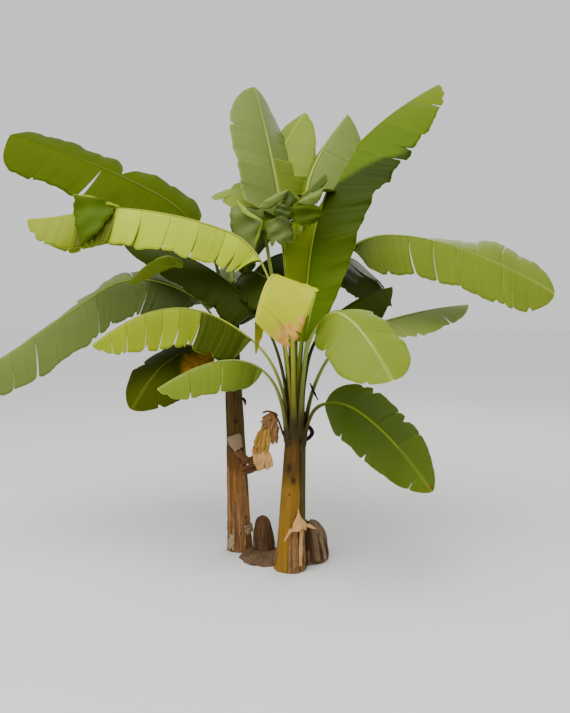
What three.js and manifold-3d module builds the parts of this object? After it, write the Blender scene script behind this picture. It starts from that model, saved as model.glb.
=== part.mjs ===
// A banana plant: two pseudostems from one root clump, each with a crown of arching leaves.
// Millimetres, Z up, ground at Z = 0, origin on the flat cut under the main stem.
import * as THREE from 'three';
import Module from 'manifold-3d';

const DEG = Math.PI / 180;
const GAP = 0.3;
const BLADE_THICK = 15;
const STALK_HALF = [13, 9, 3.5];
const STALK_DEPTH = [21, 15, 4];
const VEIN_SLANT = 0.18;
const CURL = -20;
const BASE_PART = 0.16;
const TIP_PART = 0.42;

const wasm = await Module();
wasm.setup();

// Stems: foot and top of the axis, height, radius at the foot and at the top.
const STEMS = {
  main: { foot: [0, 0], top: [35, 10], height: 860, radius: [88, 62], sides: 20 },
  second: { foot: [-330, 300], top: [-380, 310], height: 1350, radius: [72, 55], sides: 18 },
};

// Leaves. seat: bearing and distance from the stem axis. heading: bearings along the rib.
// climb: slope of the rib at the stem, on the stalk, at the blade's base and on to the tip.
// left, right: how far each half rises from level (minus hangs), looking out from the stem.
// slim: where the left and the right half stop widening, and blunt: where the tip starts to narrow,
// as fractions of the blade.
// split: distance along the rib at which the leaf is parted in two.
const LEAVES = [
  { name: 'leaf_front_low', stem: 'main', z: 780, seat: [336, 63], heading: [336],
    stalk: 290, blade: 820, width: 420, climb: [90, 64, 15, -30, -42, -50, -50],
    left: [5, 5], right: [5, 5], roll: [40, 40], split: 330, tears: [[0.82], [0.7]] },
  { name: 'leaf_left_low', stem: 'main', z: 800, seat: [206, 59], heading: [203],
    stalk: 470, blade: 660, width: 360, climb: [90, 70, 38, 5, -14, -25, -32],
    left: [-65, -65], right: [-50, -50], split: 600, tears: [[0.35, 0.55], [0.5]] },
  { name: 'leaf_right_low', stem: 'main', z: 820, seat: [18, 66], heading: [20],
    stalk: 740, blade: 870, width: 400, climb: [90, 58, 27, 14, 12, 8, 4],
    left: [-20, -20], right: [-30, -30], split: 740, tears: [[0.6], [0.3, 0.7]] },
  { name: 'leaf_front_right', stem: 'main', z: 860, seat: [308, 44], heading: [318, 310, 300, 300],
    stalk: 720, blade: 720, width: 440, climb: [90, 79, 34, -18, -36, -44, -46],
    left: [-15, -15], right: [0, 0], roll: [35, 35], blunt: 0.55, split: 770, tears: [[0.45, 0.66], [0.8]] },
  { name: 'leaf_front_yellow', stem: 'main', z: 860, seat: [255, 44], heading: [256, 247, 258],
    stalk: 880, blade: 600, width: 540, climb: [90, 84, 50, -20, -42, -50],
    left: [-8, -25, -45], right: [-75, -75], blunt: 0.74, split: 990, tears: [[0.8], [0.62]] },
  { name: 'leaf_left_mid', stem: 'main', z: 860, seat: [180, 46], heading: [192],
    stalk: 600, blade: 1020, width: 480, climb: [90, 66, 40, 26, -4, -28, -40],
    left: [-70, -70], right: [0, 0], split: 960, tears: [[0.2, 0.38, 0.55, 0.75], [0.3]] },
  { name: 'leaf_left_arch', stem: 'main', z: 860, seat: [200, 24], heading: [184],
    stalk: 1020, blade: 1450, width: 470, climb: [90, 80, 64, 20, 12, 4, -14, -2],
    left: [-70, -68, -66, -60, -40], right: [-40, -50], blunt: 0.8, split: 1180,
    tears: [[0.13, 0.31, 0.545, 0.65, 0.8], [0.4, 0.7]] },
  { name: 'leaf_right_arch', stem: 'main', z: 860, seat: [352, 26], heading: [1],
    stalk: 1140, blade: 1360, width: 500, climb: [90, 80, 42, 0, -14, -20, -26, -32],
    left: [-5, 15, 50, 62], right: [-70, -65], blunt: 0.7, split: 1400,
    tears: [[0.5, 0.66], [0.28, 0.45, 0.52, 0.72]] },
  { name: 'leaf_furled', stem: 'main', z: 860, seat: [180, 30], heading: [85, 85, 85, 0, -15],
    stalk: 1300, blade: 310, width: 100, climb: [90, 85, 85, 45, 40],
    left: [-70, -70], right: [-70, -70], slim: [0.02, 0.02], blunt: 0.9, tears: [[], []] },
  { name: 'leaf_top_mid', stem: 'main', z: 860, seat: [95, 30], heading: [90, 70, 42, 42],
    stalk: 1440, blade: 700, width: 560, climb: [90, 85, 77, 58, 51, 45],
    left: [-20, -20], right: [-40, -45], blunt: 0.5, split: 1300, tears: [[], [0.5]] },
  { name: 'leaf_top_left', stem: 'main', z: 860, seat: [110, 30], heading: [140, 140, 125, 115],
    stalk: 1290, blade: 970, width: 500, climb: [90, 85, 79, 71, 66, 62],
    left: [5, 5], right: [20, 0, -20, -20], slim: [0.05, 0.16], blunt: 0.5, tears: [[], [0.42]] },
  { name: 'leaf_top_back', stem: 'main', z: 860, seat: [130, 52], heading: [155, 155, 125, 50, 40],
    stalk: 1300, blade: 920, width: 510, climb: [90, 76, 75, 58, 52],
    left: [10, 10], right: [-20, -20], tears: [[0.8], []] },
  { name: 'leaf_top_right', stem: 'main', z: 860, seat: [280, 30], heading: [30, 50, 52, 40, 32, 30, 30],
    stalk: 520, blade: 2270, width: 760, climb: [90, 85, 82, 80, 65, 45, 36, 30],
    left: [66, 66, 65, -10, -68, -74, -78, -79, -80], right: [12, 11, 7, -4, -20, -24, -21, -20, -20],
    roll: [10, 10, 8, 0, 0, 0, 0, 0, 0], slim: [2, 0.65], blunt: 0.6,
    split: 1600, tears: [[0.33, 0.69, 0.82], [0.59, 0.87]] },
  { name: 'leaf_dark_left', stem: 'main', z: 860, seat: [150, 46], heading: [168],
    stalk: 720, blade: 1050, width: 420, climb: [90, 74, 56, 38, 28, 15, 0],
    left: [-65, -60], right: [-65, -60], split: 720, tears: [[0.35], [0.5]] },
  { name: 'leaf_back_left', stem: 'main', z: 860, seat: [158, 24], heading: [136],
    stalk: 1180, blade: 800, width: 440, climb: [90, 86, 78, 40, 12, -12],
    left: [-20, -20], right: [-20, -20], split: 1250, tears: [[0.6], [0.4]] },
  { name: 'leaf_dark_right', stem: 'main', z: 860, seat: [42, 46], heading: [38],
    stalk: 640, blade: 720, width: 420, climb: [90, 76, 44, 28, 18, 10],
    left: [-20, -20], right: [-60, -60], split: 620, tears: [[0.5], [0.4]] },
  { name: 'leaf_rear_right', stem: 'main', z: 860, seat: [72, 48], heading: [55],
    stalk: 950, blade: 1250, width: 460, climb: [90, 80, 50, 15, -15, -30, -38],
    left: [-35, -35], right: [-35, -35], split: 1250, tears: [[0.7], [0.3]] },
  { name: 'leaf_rear', stem: 'main', z: 860, seat: [108, 48], heading: [100],
    stalk: 850, blade: 1100, width: 440, climb: [90, 78, 45, 10, -20, -35, -45],
    left: [-35, -35], right: [-35, -35], split: 1100, tears: [[0.4], [0.5]] },
  { name: 'second_leaf_patched', stem: 'second', z: 1120, seat: [222, 56], heading: [224],
    stalk: 220, blade: 720, width: 420, climb: [90, 55, 30, -20, -45, -60],
    left: [-20, -20], right: [-10, -10], roll: [-30, -30], split: 300, tears: [[0.5], [0.6]] },
  { name: 'second_leaf_long', stem: 'second', z: 1230, seat: [188, 52], heading: [189],
    stalk: 440, blade: 1680, width: 500, climb: [90, 70, 40, 10, -34, -36, -34, -28],
    left: [-65, -65], right: [35, 10], blunt: 0.7, split: 800,
    tears: [[0.34, 0.5, 0.62, 0.76, 0.88], [0.5, 0.7]] },
  { name: 'second_leaf_high', stem: 'second', z: 1350, seat: [165, 38], heading: [180],
    stalk: 820, blade: 1340, width: 500, climb: [90, 78, 50, 28, 23, 20, 16],
    left: [-15, -15], right: [0, 0], roll: [-40, -40], blunt: 0.86, split: 820, tears: [[0.72], [0.5]] },
  { name: 'second_leaf_young', stem: 'second', z: 1350, seat: [20, 12], heading: [312, 325, 345, 335],
    stalk: 470, blade: 400, width: 290, climb: [90, 80, 68, 55, 50],
    left: [10, 10], right: [10, 10], tears: [[], []] },
  { name: 'second_leaf_front', stem: 'second', z: 1350, seat: [290, 36], heading: [180, 318, 318, 305],
    stalk: 420, blade: 500, width: 440, climb: [90, 84, 60, -15, -35, -50],
    left: [-20, -20], right: [-50, -50], split: 560, tears: [[0.5], [0.6]] },
  { name: 'second_leaf_rear_right', stem: 'second', z: 1350, seat: [50, 40], heading: [40],
    stalk: 500, blade: 950, width: 420, climb: [90, 74, 50, 15, -20, -35],
    left: [-40, -40], right: [-40, -40], split: 750, tears: [[0.5], [0.4]] },
  { name: 'second_leaf_rear', stem: 'second', z: 1350, seat: [95, 40], heading: [95],
    stalk: 450, blade: 1150, width: 440, climb: [90, 74, 50, 20, -10, -30, -40],
    left: [-35, -35], right: [-35, -35], split: 760, tears: [[0.4], [0.6]] },
  { name: 'second_leaf_rear_left', stem: 'second', z: 1300, seat: [138, 54], heading: [140],
    stalk: 400, blade: 1050, width: 420, climb: [90, 70, 45, 10, -25, -40, -45],
    left: [-40, -40], right: [-40, -40], split: 600, tears: [[0.45], [0.75]] },
  { name: 'dead_leaf', stem: 'main', z: 790, seat: [172, 62], heading: [172, 185, 205, 195],
    stalk: 170, blade: 400, width: 150, climb: [72, 72, 50, -55, -62, -66, -72],
    left: [-50, -50], right: [-60, -60], tears: [[0.5], [0.7]] },
  { name: 'dead_sheath', stem: 'main', z: 350, seat: [305, 72], heading: [305],
    stalk: 30, blade: 290, width: 170, climb: [90, 20, -45, -74, -84, -84],
    left: [-38, -38], right: [-38, -38], blunt: 0.85, tears: [[], []] },
  { name: 'dead_flap', stem: 'second', z: 760, seat: [280, 63], heading: [285],
    stalk: 20, blade: 120, width: 110, climb: [90, 10, -60, -78, -80],
    left: [-20, -20], right: [-20, -20], slim: [0.02, 0.02], blunt: 0.97, tears: [[], []] },
  { name: 'dead_stub', stem: 'main', z: 800, seat: [350, 62], heading: [350],
    stalk: 20, blade: 120, width: 40, climb: [10, 20, 50, 100, 150, 170],
    left: [-20, -20], right: [-20, -20], tears: [[], []] },
];

const SLOTS = {
  green: { color: 0x6f9a3a, roughness: 0.5 },
  yellow: { color: 0xc9b75a, roughness: 0.6 },
  dead: { color: 0x7a6046, roughness: 0.85 },
  stem: { color: 0x8a7a3c, roughness: 0.6 },
};

function listAt(list, x) {
  const f = Math.min(Math.max(x, 0), 1) * (list.length - 1);
  const i = Math.min(Math.floor(f), list.length - 2);
  return list.length === 1 ? list[0] : list[i] + (list[i + 1] - list[i]) * (f - i);
}

function knotAt(marks, values, x) {
  let i = 0;
  while (i < marks.length - 2 && x > marks[i + 1]) {
    i += 1;
  }
  const f = Math.min(Math.max((x - marks[i]) / (marks[i + 1] - marks[i]), 0), 1);
  return values[i] + (values[i + 1] - values[i]) * f;
}

function axisAt(stem, z) {
  const t = z / stem.height;
  return new THREE.Vector3(
    stem.foot[0] + (stem.top[0] - stem.foot[0]) * t,
    stem.foot[1] + (stem.top[1] - stem.foot[1]) * t,
    z,
  );
}

// The rib: slope and bearing change evenly between their knots along the length.
function ribOf(leaf) {
  const total = leaf.stalk + leaf.blade;
  const marks = [0, 0.6 * leaf.stalk];
  const steps = leaf.climb.length - 3;
  for (let i = 0; i <= steps; i += 1) {
    marks.push(leaf.stalk + (leaf.blade * i) / steps);
  }
  const frameAt = (s) => {
    const e = knotAt(marks, leaf.climb, s) * DEG;
    const h = listAt(leaf.heading, s / total) * DEG;
    const d = new THREE.Vector3(Math.cos(e) * Math.cos(h), Math.cos(e) * Math.sin(h), Math.sin(e));
    const left = new THREE.Vector3(-Math.sin(h), Math.cos(h), 0);
    return { d, left };
  };
  const step = 5;
  const count = Math.ceil(total / step);
  const bearing = leaf.seat[0] * DEG;
  const start = axisAt(STEMS[leaf.stem], leaf.z);
  start.x += leaf.seat[1] * Math.cos(bearing);
  start.y += leaf.seat[1] * Math.sin(bearing);
  start.z += GAP;
  const points = [start.clone()];
  for (let i = 0; i < count; i += 1) {
    const { d } = frameAt(((i + 0.5) * total) / count);
    points.push(points[i].clone().addScaledVector(d, total / count));
  }
  return (s) => {
    const f = (s / total) * count;
    const i = Math.min(Math.max(Math.floor(f), 0), count - 1);
    const p = points[i].clone().lerp(points[i + 1], f - i);
    const { d, left } = frameAt(s);
    const up = d.clone().cross(left);
    const r = listAt(leaf.roll ?? [0, 0], (s - leaf.stalk) / leaf.blade) * DEG;
    const turn = s > leaf.stalk ? r : (r * s) / leaf.stalk;
    const side = left.clone().multiplyScalar(Math.cos(turn)).addScaledVector(up, Math.sin(turn));
    const top = up.clone().multiplyScalar(Math.cos(turn)).addScaledVector(left, -Math.sin(turn));
    return { p, d, side, top };
  };
}

function bladeHalf(leaf, t, side) {
  let f = 1;
  const base = leaf.slim ? leaf.slim[side] : BASE_PART;
  const tip = leaf.blunt ?? TIP_PART;
  if (t < base) {
    f = Math.sqrt(Math.max(0, 1 - (1 - t / base) ** 2));
  }
  if (t > tip) {
    f = Math.max(0, 1 - ((t - tip) / (1 - tip)) ** 2.1) ** 0.75;
  }
  return (leaf.width / 2) * f;
}

// One cross-section: five points over the top and five underneath. What hangs sags toward the ground.
function sectionAt(leaf, rib, s, grow) {
  const { p, d, side, top } = rib(s);
  const t = (s - leaf.stalk) / leaf.blade;
  const marks = [0, leaf.stalk, leaf.stalk + leaf.blade];
  const stalkHalf = knotAt(marks, STALK_HALF, s);
  const keel = knotAt(marks, STALK_DEPTH, s);
  const inBlade = Math.min(Math.max(t / 0.05, 0), 1);
  const sag = top.clone().add(new THREE.Vector3(0, 0, 1.5 * (1 - d.z * d.z))).normalize();
  const place = (across, rise, along, drop) => p.clone()
    .addScaledVector(side, across)
    .addScaledVector(rise < 0 ? sag : top, rise)
    .addScaledVector(top, -drop)
    .addScaledVector(d, along);
  const rows = { 1: [], '-1': [] };
  let apex = keel;
  for (const sign of [1, -1]) {
    const tears = leaf.tears[sign === 1 ? 0 : 1];
    const torn = tears.reduce((w, at) => Math.max(w, 1 - Math.abs(t - at) / 0.012), 0);
    const full = bladeHalf(leaf, t, sign === 1 ? 0 : 1);
    const wide = t > 0 ? Math.max(stalkHalf, full * (1 - 0.72 * torn)) : stalkHalf;
    const lift = listAt(sign === 1 ? leaf.left : leaf.right, t) * inBlade;
    let across = 0;
    let rise = 0;
    for (const k of [0, 1]) {
      const slope = Math.max(Math.min(lift + CURL * inBlade * (k * 0.5 + 0.25), 80), -80) * DEG;
      across += (wide / 2) * Math.cos(slope);
      rise += (wide / 2) * Math.sin(slope);
      const thick = leaf.width < 160 ? 9 : Math.min(BLADE_THICK, 5 + wide * 0.12);
      const flat = thick / Math.max(Math.cos(slope), 0.34);
      const round = keel * (k === 0 ? 0.86 : 0.3);
      const share = Math.min(Math.max((wide - stalkHalf) / 40, 0), 1);
      const drop = round + (flat * (k === 0 ? 1 : 0.6) - round) * share;
      const along = VEIN_SLANT * wide * (k === 0 ? 0.25 : 1) * inBlade;
      const reach = sign * (across + (k === 1 ? grow : 0));
      const ease = grow / Math.max(Math.cos(slope), 0.34);
      rows[sign].push([place(reach, rise, along, -ease), place(reach, rise, along, drop + ease)]);
      apex = Math.max(apex, share * flat);
    }
  }
  const middle = [place(0, 0, 0, -grow), place(0, 0, 0, apex + 1.5 * grow)];
  const chain = [rows[-1][1], rows[-1][0], middle, rows[1][0], rows[1][1]];
  return [...chain.map((pair) => pair[0]), ...chain.map((pair) => pair[1]).reverse()];
}

function stationsOf(leaf) {
  const list = [0, 0.35, 0.7].map((f) => f * leaf.stalk);
  const even = [0, 0.03, 0.1, 0.2, 0.34, 0.5, 0.66, 0.8, 0.9, 0.96, 0.998];
  for (const t of even) {
    list.push(leaf.stalk + t * leaf.blade);
  }
  for (const t of leaf.tears.flat()) {
    list.push(...[-0.012, 0, 0.012].map((f) => leaf.stalk + (t + f) * leaf.blade));
  }
  return list.sort((a, b) => a - b).filter((s, i, all) => i === 0 || s - all[i - 1] > 4);
}

function manifoldOf(points, faces) {
  return new wasm.Manifold(new wasm.Mesh({
    numProp: 3,
    vertProperties: new Float32Array(points.flatMap((p) => [p.x, p.y, p.z])),
    triVerts: new Uint32Array(faces.flat()),
  }));
}

// Skins a row of rings; each ring runs over the top from right to left, then back underneath.
function skin(rings) {
  const n = rings[0].length;
  const faces = [];
  for (let k = 0; k < rings.length - 1; k += 1) {
    for (let i = 0; i < n; i += 1) {
      const a = k * n + i;
      const b = k * n + ((i + 1) % n);
      faces.push([a, a + n, b], [b, a + n, b + n]);
    }
  }
  const end = (rings.length - 1) * n;
  for (let i = 0; i < n / 2 - 1; i += 1) {
    const quad = [i, i + 1, n - 2 - i, n - 1 - i];
    faces.push([quad[0], quad[1], quad[2]], [quad[0], quad[2], quad[3]]);
    faces.push([end + quad[0], end + quad[2], end + quad[1]], [end + quad[0], end + quad[3], end + quad[2]]);
  }
  return manifoldOf(rings.flat(), faces);
}

function loft(leaf, rib, from, to, grow) {
  const inner = stationsOf(leaf).filter((s) => s > from + 3 && s < to - 3);
  const rings = [from - grow, ...inner, to + grow].map((s) => sectionAt(leaf, rib, s, grow));
  return skin(rings);
}

// A round solid about an axis: rows of height, radius and axis offset, with a wavy outline.
function lathe(rows, sides, wave, grow = 0) {
  const rings = rows.map(([x, y, z, r]) => {
    const ring = [];
    for (let i = 0; i < sides; i += 1) {
      const a = (-2 * Math.PI * i) / sides;
      const w = r * (1 + wave(a, z)) + grow;
      ring.push(new THREE.Vector3(x + w * Math.cos(a), y + w * Math.sin(a), z));
    }
    return ring;
  });
  return skin(rings);
}

function stemSolid(stem, grow) {
  const rows = [0, 0.02, 0.08, 0.2, 0.4, 0.6, 0.8, 1].map((t) => {
    const p = axisAt(stem, t * stem.height);
    const flare = 0.16 * Math.exp(-t / 0.05);
    const r = (stem.radius[0] + (stem.radius[1] - stem.radius[0]) * t) * (1 + flare);
    return [p.x, p.y, t < 1 ? p.z - (t === 0 ? grow : 0) : p.z + grow * 0.9, r];
  });
  return lathe(rows, stem.sides, (a, z) => 0.035 * Math.cos(2 * a + z / 400) + 0.02 * Math.cos(5 * a), grow);
}

const group = new THREE.Group();
const placed = [];

function boxOf(solid) {
  const mesh = solid.getMesh();
  const box = new THREE.Box3();
  for (let i = 0; i < mesh.vertProperties.length; i += mesh.numProp) {
    box.expandByPoint(new THREE.Vector3(...mesh.vertProperties.slice(i, i + 3)));
  }
  return box;
}

function addPiece(name, slot, solid, grown) {
  const box = boxOf(grown);
  let body = solid;
  for (const other of placed) {
    if (other.box.intersectsBox(box)) {
      body = body.subtract(other.grown);
    }
  }
  placed.push({ grown, box });
  const mesh = body.getMesh();
  const geometry = new THREE.BufferGeometry();
  const positions = new Float32Array((mesh.vertProperties.length / mesh.numProp) * 3);
  for (let i = 0; i < positions.length / 3; i += 1) {
    positions.set(mesh.vertProperties.slice(i * mesh.numProp, i * mesh.numProp + 3), i * 3);
  }
  geometry.setAttribute('position', new THREE.BufferAttribute(positions, 3));
  geometry.setIndex([...mesh.triVerts]);
  geometry.computeVertexNormals();
  const material = new THREE.MeshStandardMaterial({ ...SLOTS[slot], metalness: 0 });
  const part = new THREE.Mesh(geometry, material);
  part.name = name;
  group.add(part);
}

for (const [name, stem] of Object.entries(STEMS)) {
  addPiece(`stem_${name}`, 'stem', stemSolid(stem, 0), stemSolid(stem, GAP));
}

// The root clump: a low mound of old sheath bases joining both stems, and the stumps of felled ones.
function mound(grow) {
  const rows = [[0, 1], [14, 0.96], [30, 0.72], [38, 0.35]].map(([z, f], i) => (
    [-165, 150, z + (i === 3 ? grow : 0) - (i === 0 ? grow : 0), 150 * f]
  ));
  return lathe(rows, 20, (a) => 0.28 * Math.cos(2 * (a - 138 * DEG)) + 0.04 * Math.cos(5 * a), grow);
}

function stump(x, y, radius, height, grow) {
  const rows = [[0, 1.1], [0.3, 1], [0.7, 0.86], [0.92, 0.6], [1, 0.3]].map(([t, f]) => (
    [x - 10 * t, y + 12 * t, t * height + (t === 1 ? grow : 0) - (t === 0 ? grow : 0), radius * f]
  ));
  return lathe(rows, 14, (a, z) => 0.07 * Math.cos(3 * a + z / 60), grow);
}

addPiece('root_clump', 'dead', mound(0), mound(GAP));
addPiece('stump_right', 'dead', stump(132, 138, 108, 235, 0), stump(132, 138, 108, 235, GAP));
addPiece('stump_between', 'dead', stump(-165, 215, 62, 240, 0), stump(-165, 215, 62, 240, GAP));

for (const leaf of LEAVES) {
  const rib = ribOf(leaf);
  const end = leaf.stalk + leaf.blade * 0.998;
  const slot = leaf.name.includes('dead') ? 'dead' : leaf.name.includes('yellow') ? 'yellow' : 'green';
  const parts = leaf.split
    ? [['_stalk', 0, leaf.split - GAP / 2], ['_blade', leaf.split + GAP / 2, end]]
    : [['', 0, end]];
  for (const [suffix, from, to] of parts) {
    addPiece(leaf.name + suffix, slot, loft(leaf, rib, from, to, 0), loft(leaf, rib, from, to, GAP));
  }
}

export default group;
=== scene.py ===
"""A banana plant: two pseudostems from one root clump, each with a crown of long torn leaves."""
import math

import bpy
import numpy as np
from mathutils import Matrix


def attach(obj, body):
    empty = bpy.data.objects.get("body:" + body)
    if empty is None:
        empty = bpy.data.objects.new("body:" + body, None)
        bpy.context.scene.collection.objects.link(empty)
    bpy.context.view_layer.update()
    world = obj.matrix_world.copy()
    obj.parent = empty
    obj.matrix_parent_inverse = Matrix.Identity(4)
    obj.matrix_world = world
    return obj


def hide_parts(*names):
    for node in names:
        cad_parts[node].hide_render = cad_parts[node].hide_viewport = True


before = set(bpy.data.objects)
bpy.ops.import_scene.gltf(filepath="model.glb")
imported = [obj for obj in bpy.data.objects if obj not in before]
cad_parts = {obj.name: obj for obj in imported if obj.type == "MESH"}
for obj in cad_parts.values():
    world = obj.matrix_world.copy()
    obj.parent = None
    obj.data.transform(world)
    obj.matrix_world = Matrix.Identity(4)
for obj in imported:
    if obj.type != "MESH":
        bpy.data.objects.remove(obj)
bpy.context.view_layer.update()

# The photograph's view: the eye and its downward pitch, the picture's size and focal length in pixels.
EYE = (-0.03, -3.43, 1.5)
PITCH_DEG = 3.36
PHOTO = (570, 713)
FOCAL_PX = 570.0

# The leaf rule's own sizes, as in the solids: how far a half curls, how far veins slant, and the parts of the
# blade where its base stops widening and where its tip starts to narrow.
CURL_DEG = -20.0
VEIN_SLANT = 0.18
BASE_PART = 0.16
TIP_PART = 0.42

# The finer surface's sizes: a blade's thickness, the distance between a strip's rows, its columns, the steps
# along a rib, a rib's half-widths from its foot to its tip, ripples as a share of the width, the part of the
# blade over which a fold's line blurs, and the distance between veins.
SHEET_THICK = 0.0016
ROW_STEP = 0.008
STRIP_COLUMNS = 13
RIB_STEPS = 599
RIB_HALF = (0.044, 0.034, 0.023, 0.016, 0.0105, 0.0058, 0.0016)
RIPPLE = 0.015
FOLD_BLUR = 0.030
VEIN_STEP = 0.0085

# Strips: how far from a tear one is loose, how far it is marked dry, how far its corner is rounded, how wide
# the margin's mark is, the spread of its own hang and twist in degrees, the steepest that a half gets, and
# how strongly what hangs turns toward the ground.
LOOSE_REACH = 0.08
TEAR_REACH = 0.05
CORNER_REACH = 0.008
MARGIN_REACH = 0.060
STRIP_TURN_DEG = 5.0
STEEPEST_DEG = 82
SAG_PULL = 1.5

# Stalks: the longest that is plain at its foot, how far up the others hug the stem, and from how far out.
SHORT_STALK = 0.2
HUG_REACH = 0.22
HUG_FROM = 0.034

# Seeds of the random draws, and the bearing of the camera.
LEAF_SEED = 500
STEM_SEEDS = {"main": 44, "second": 46}
SHRED_SEED = 71
TO_CAMERA = 270

# Stems: foot and top of the axis, height, radius at the foot and at the top.
STEMS = {
    "main": {"foot": (0.0, 0.0), "top": (0.035, 0.010), "height": 0.86, "radius": (0.088, 0.062)},
    "second": {"foot": (-0.33, 0.30), "top": (-0.38, 0.31), "height": 1.35, "radius": (0.072, 0.055)},
}

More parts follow.
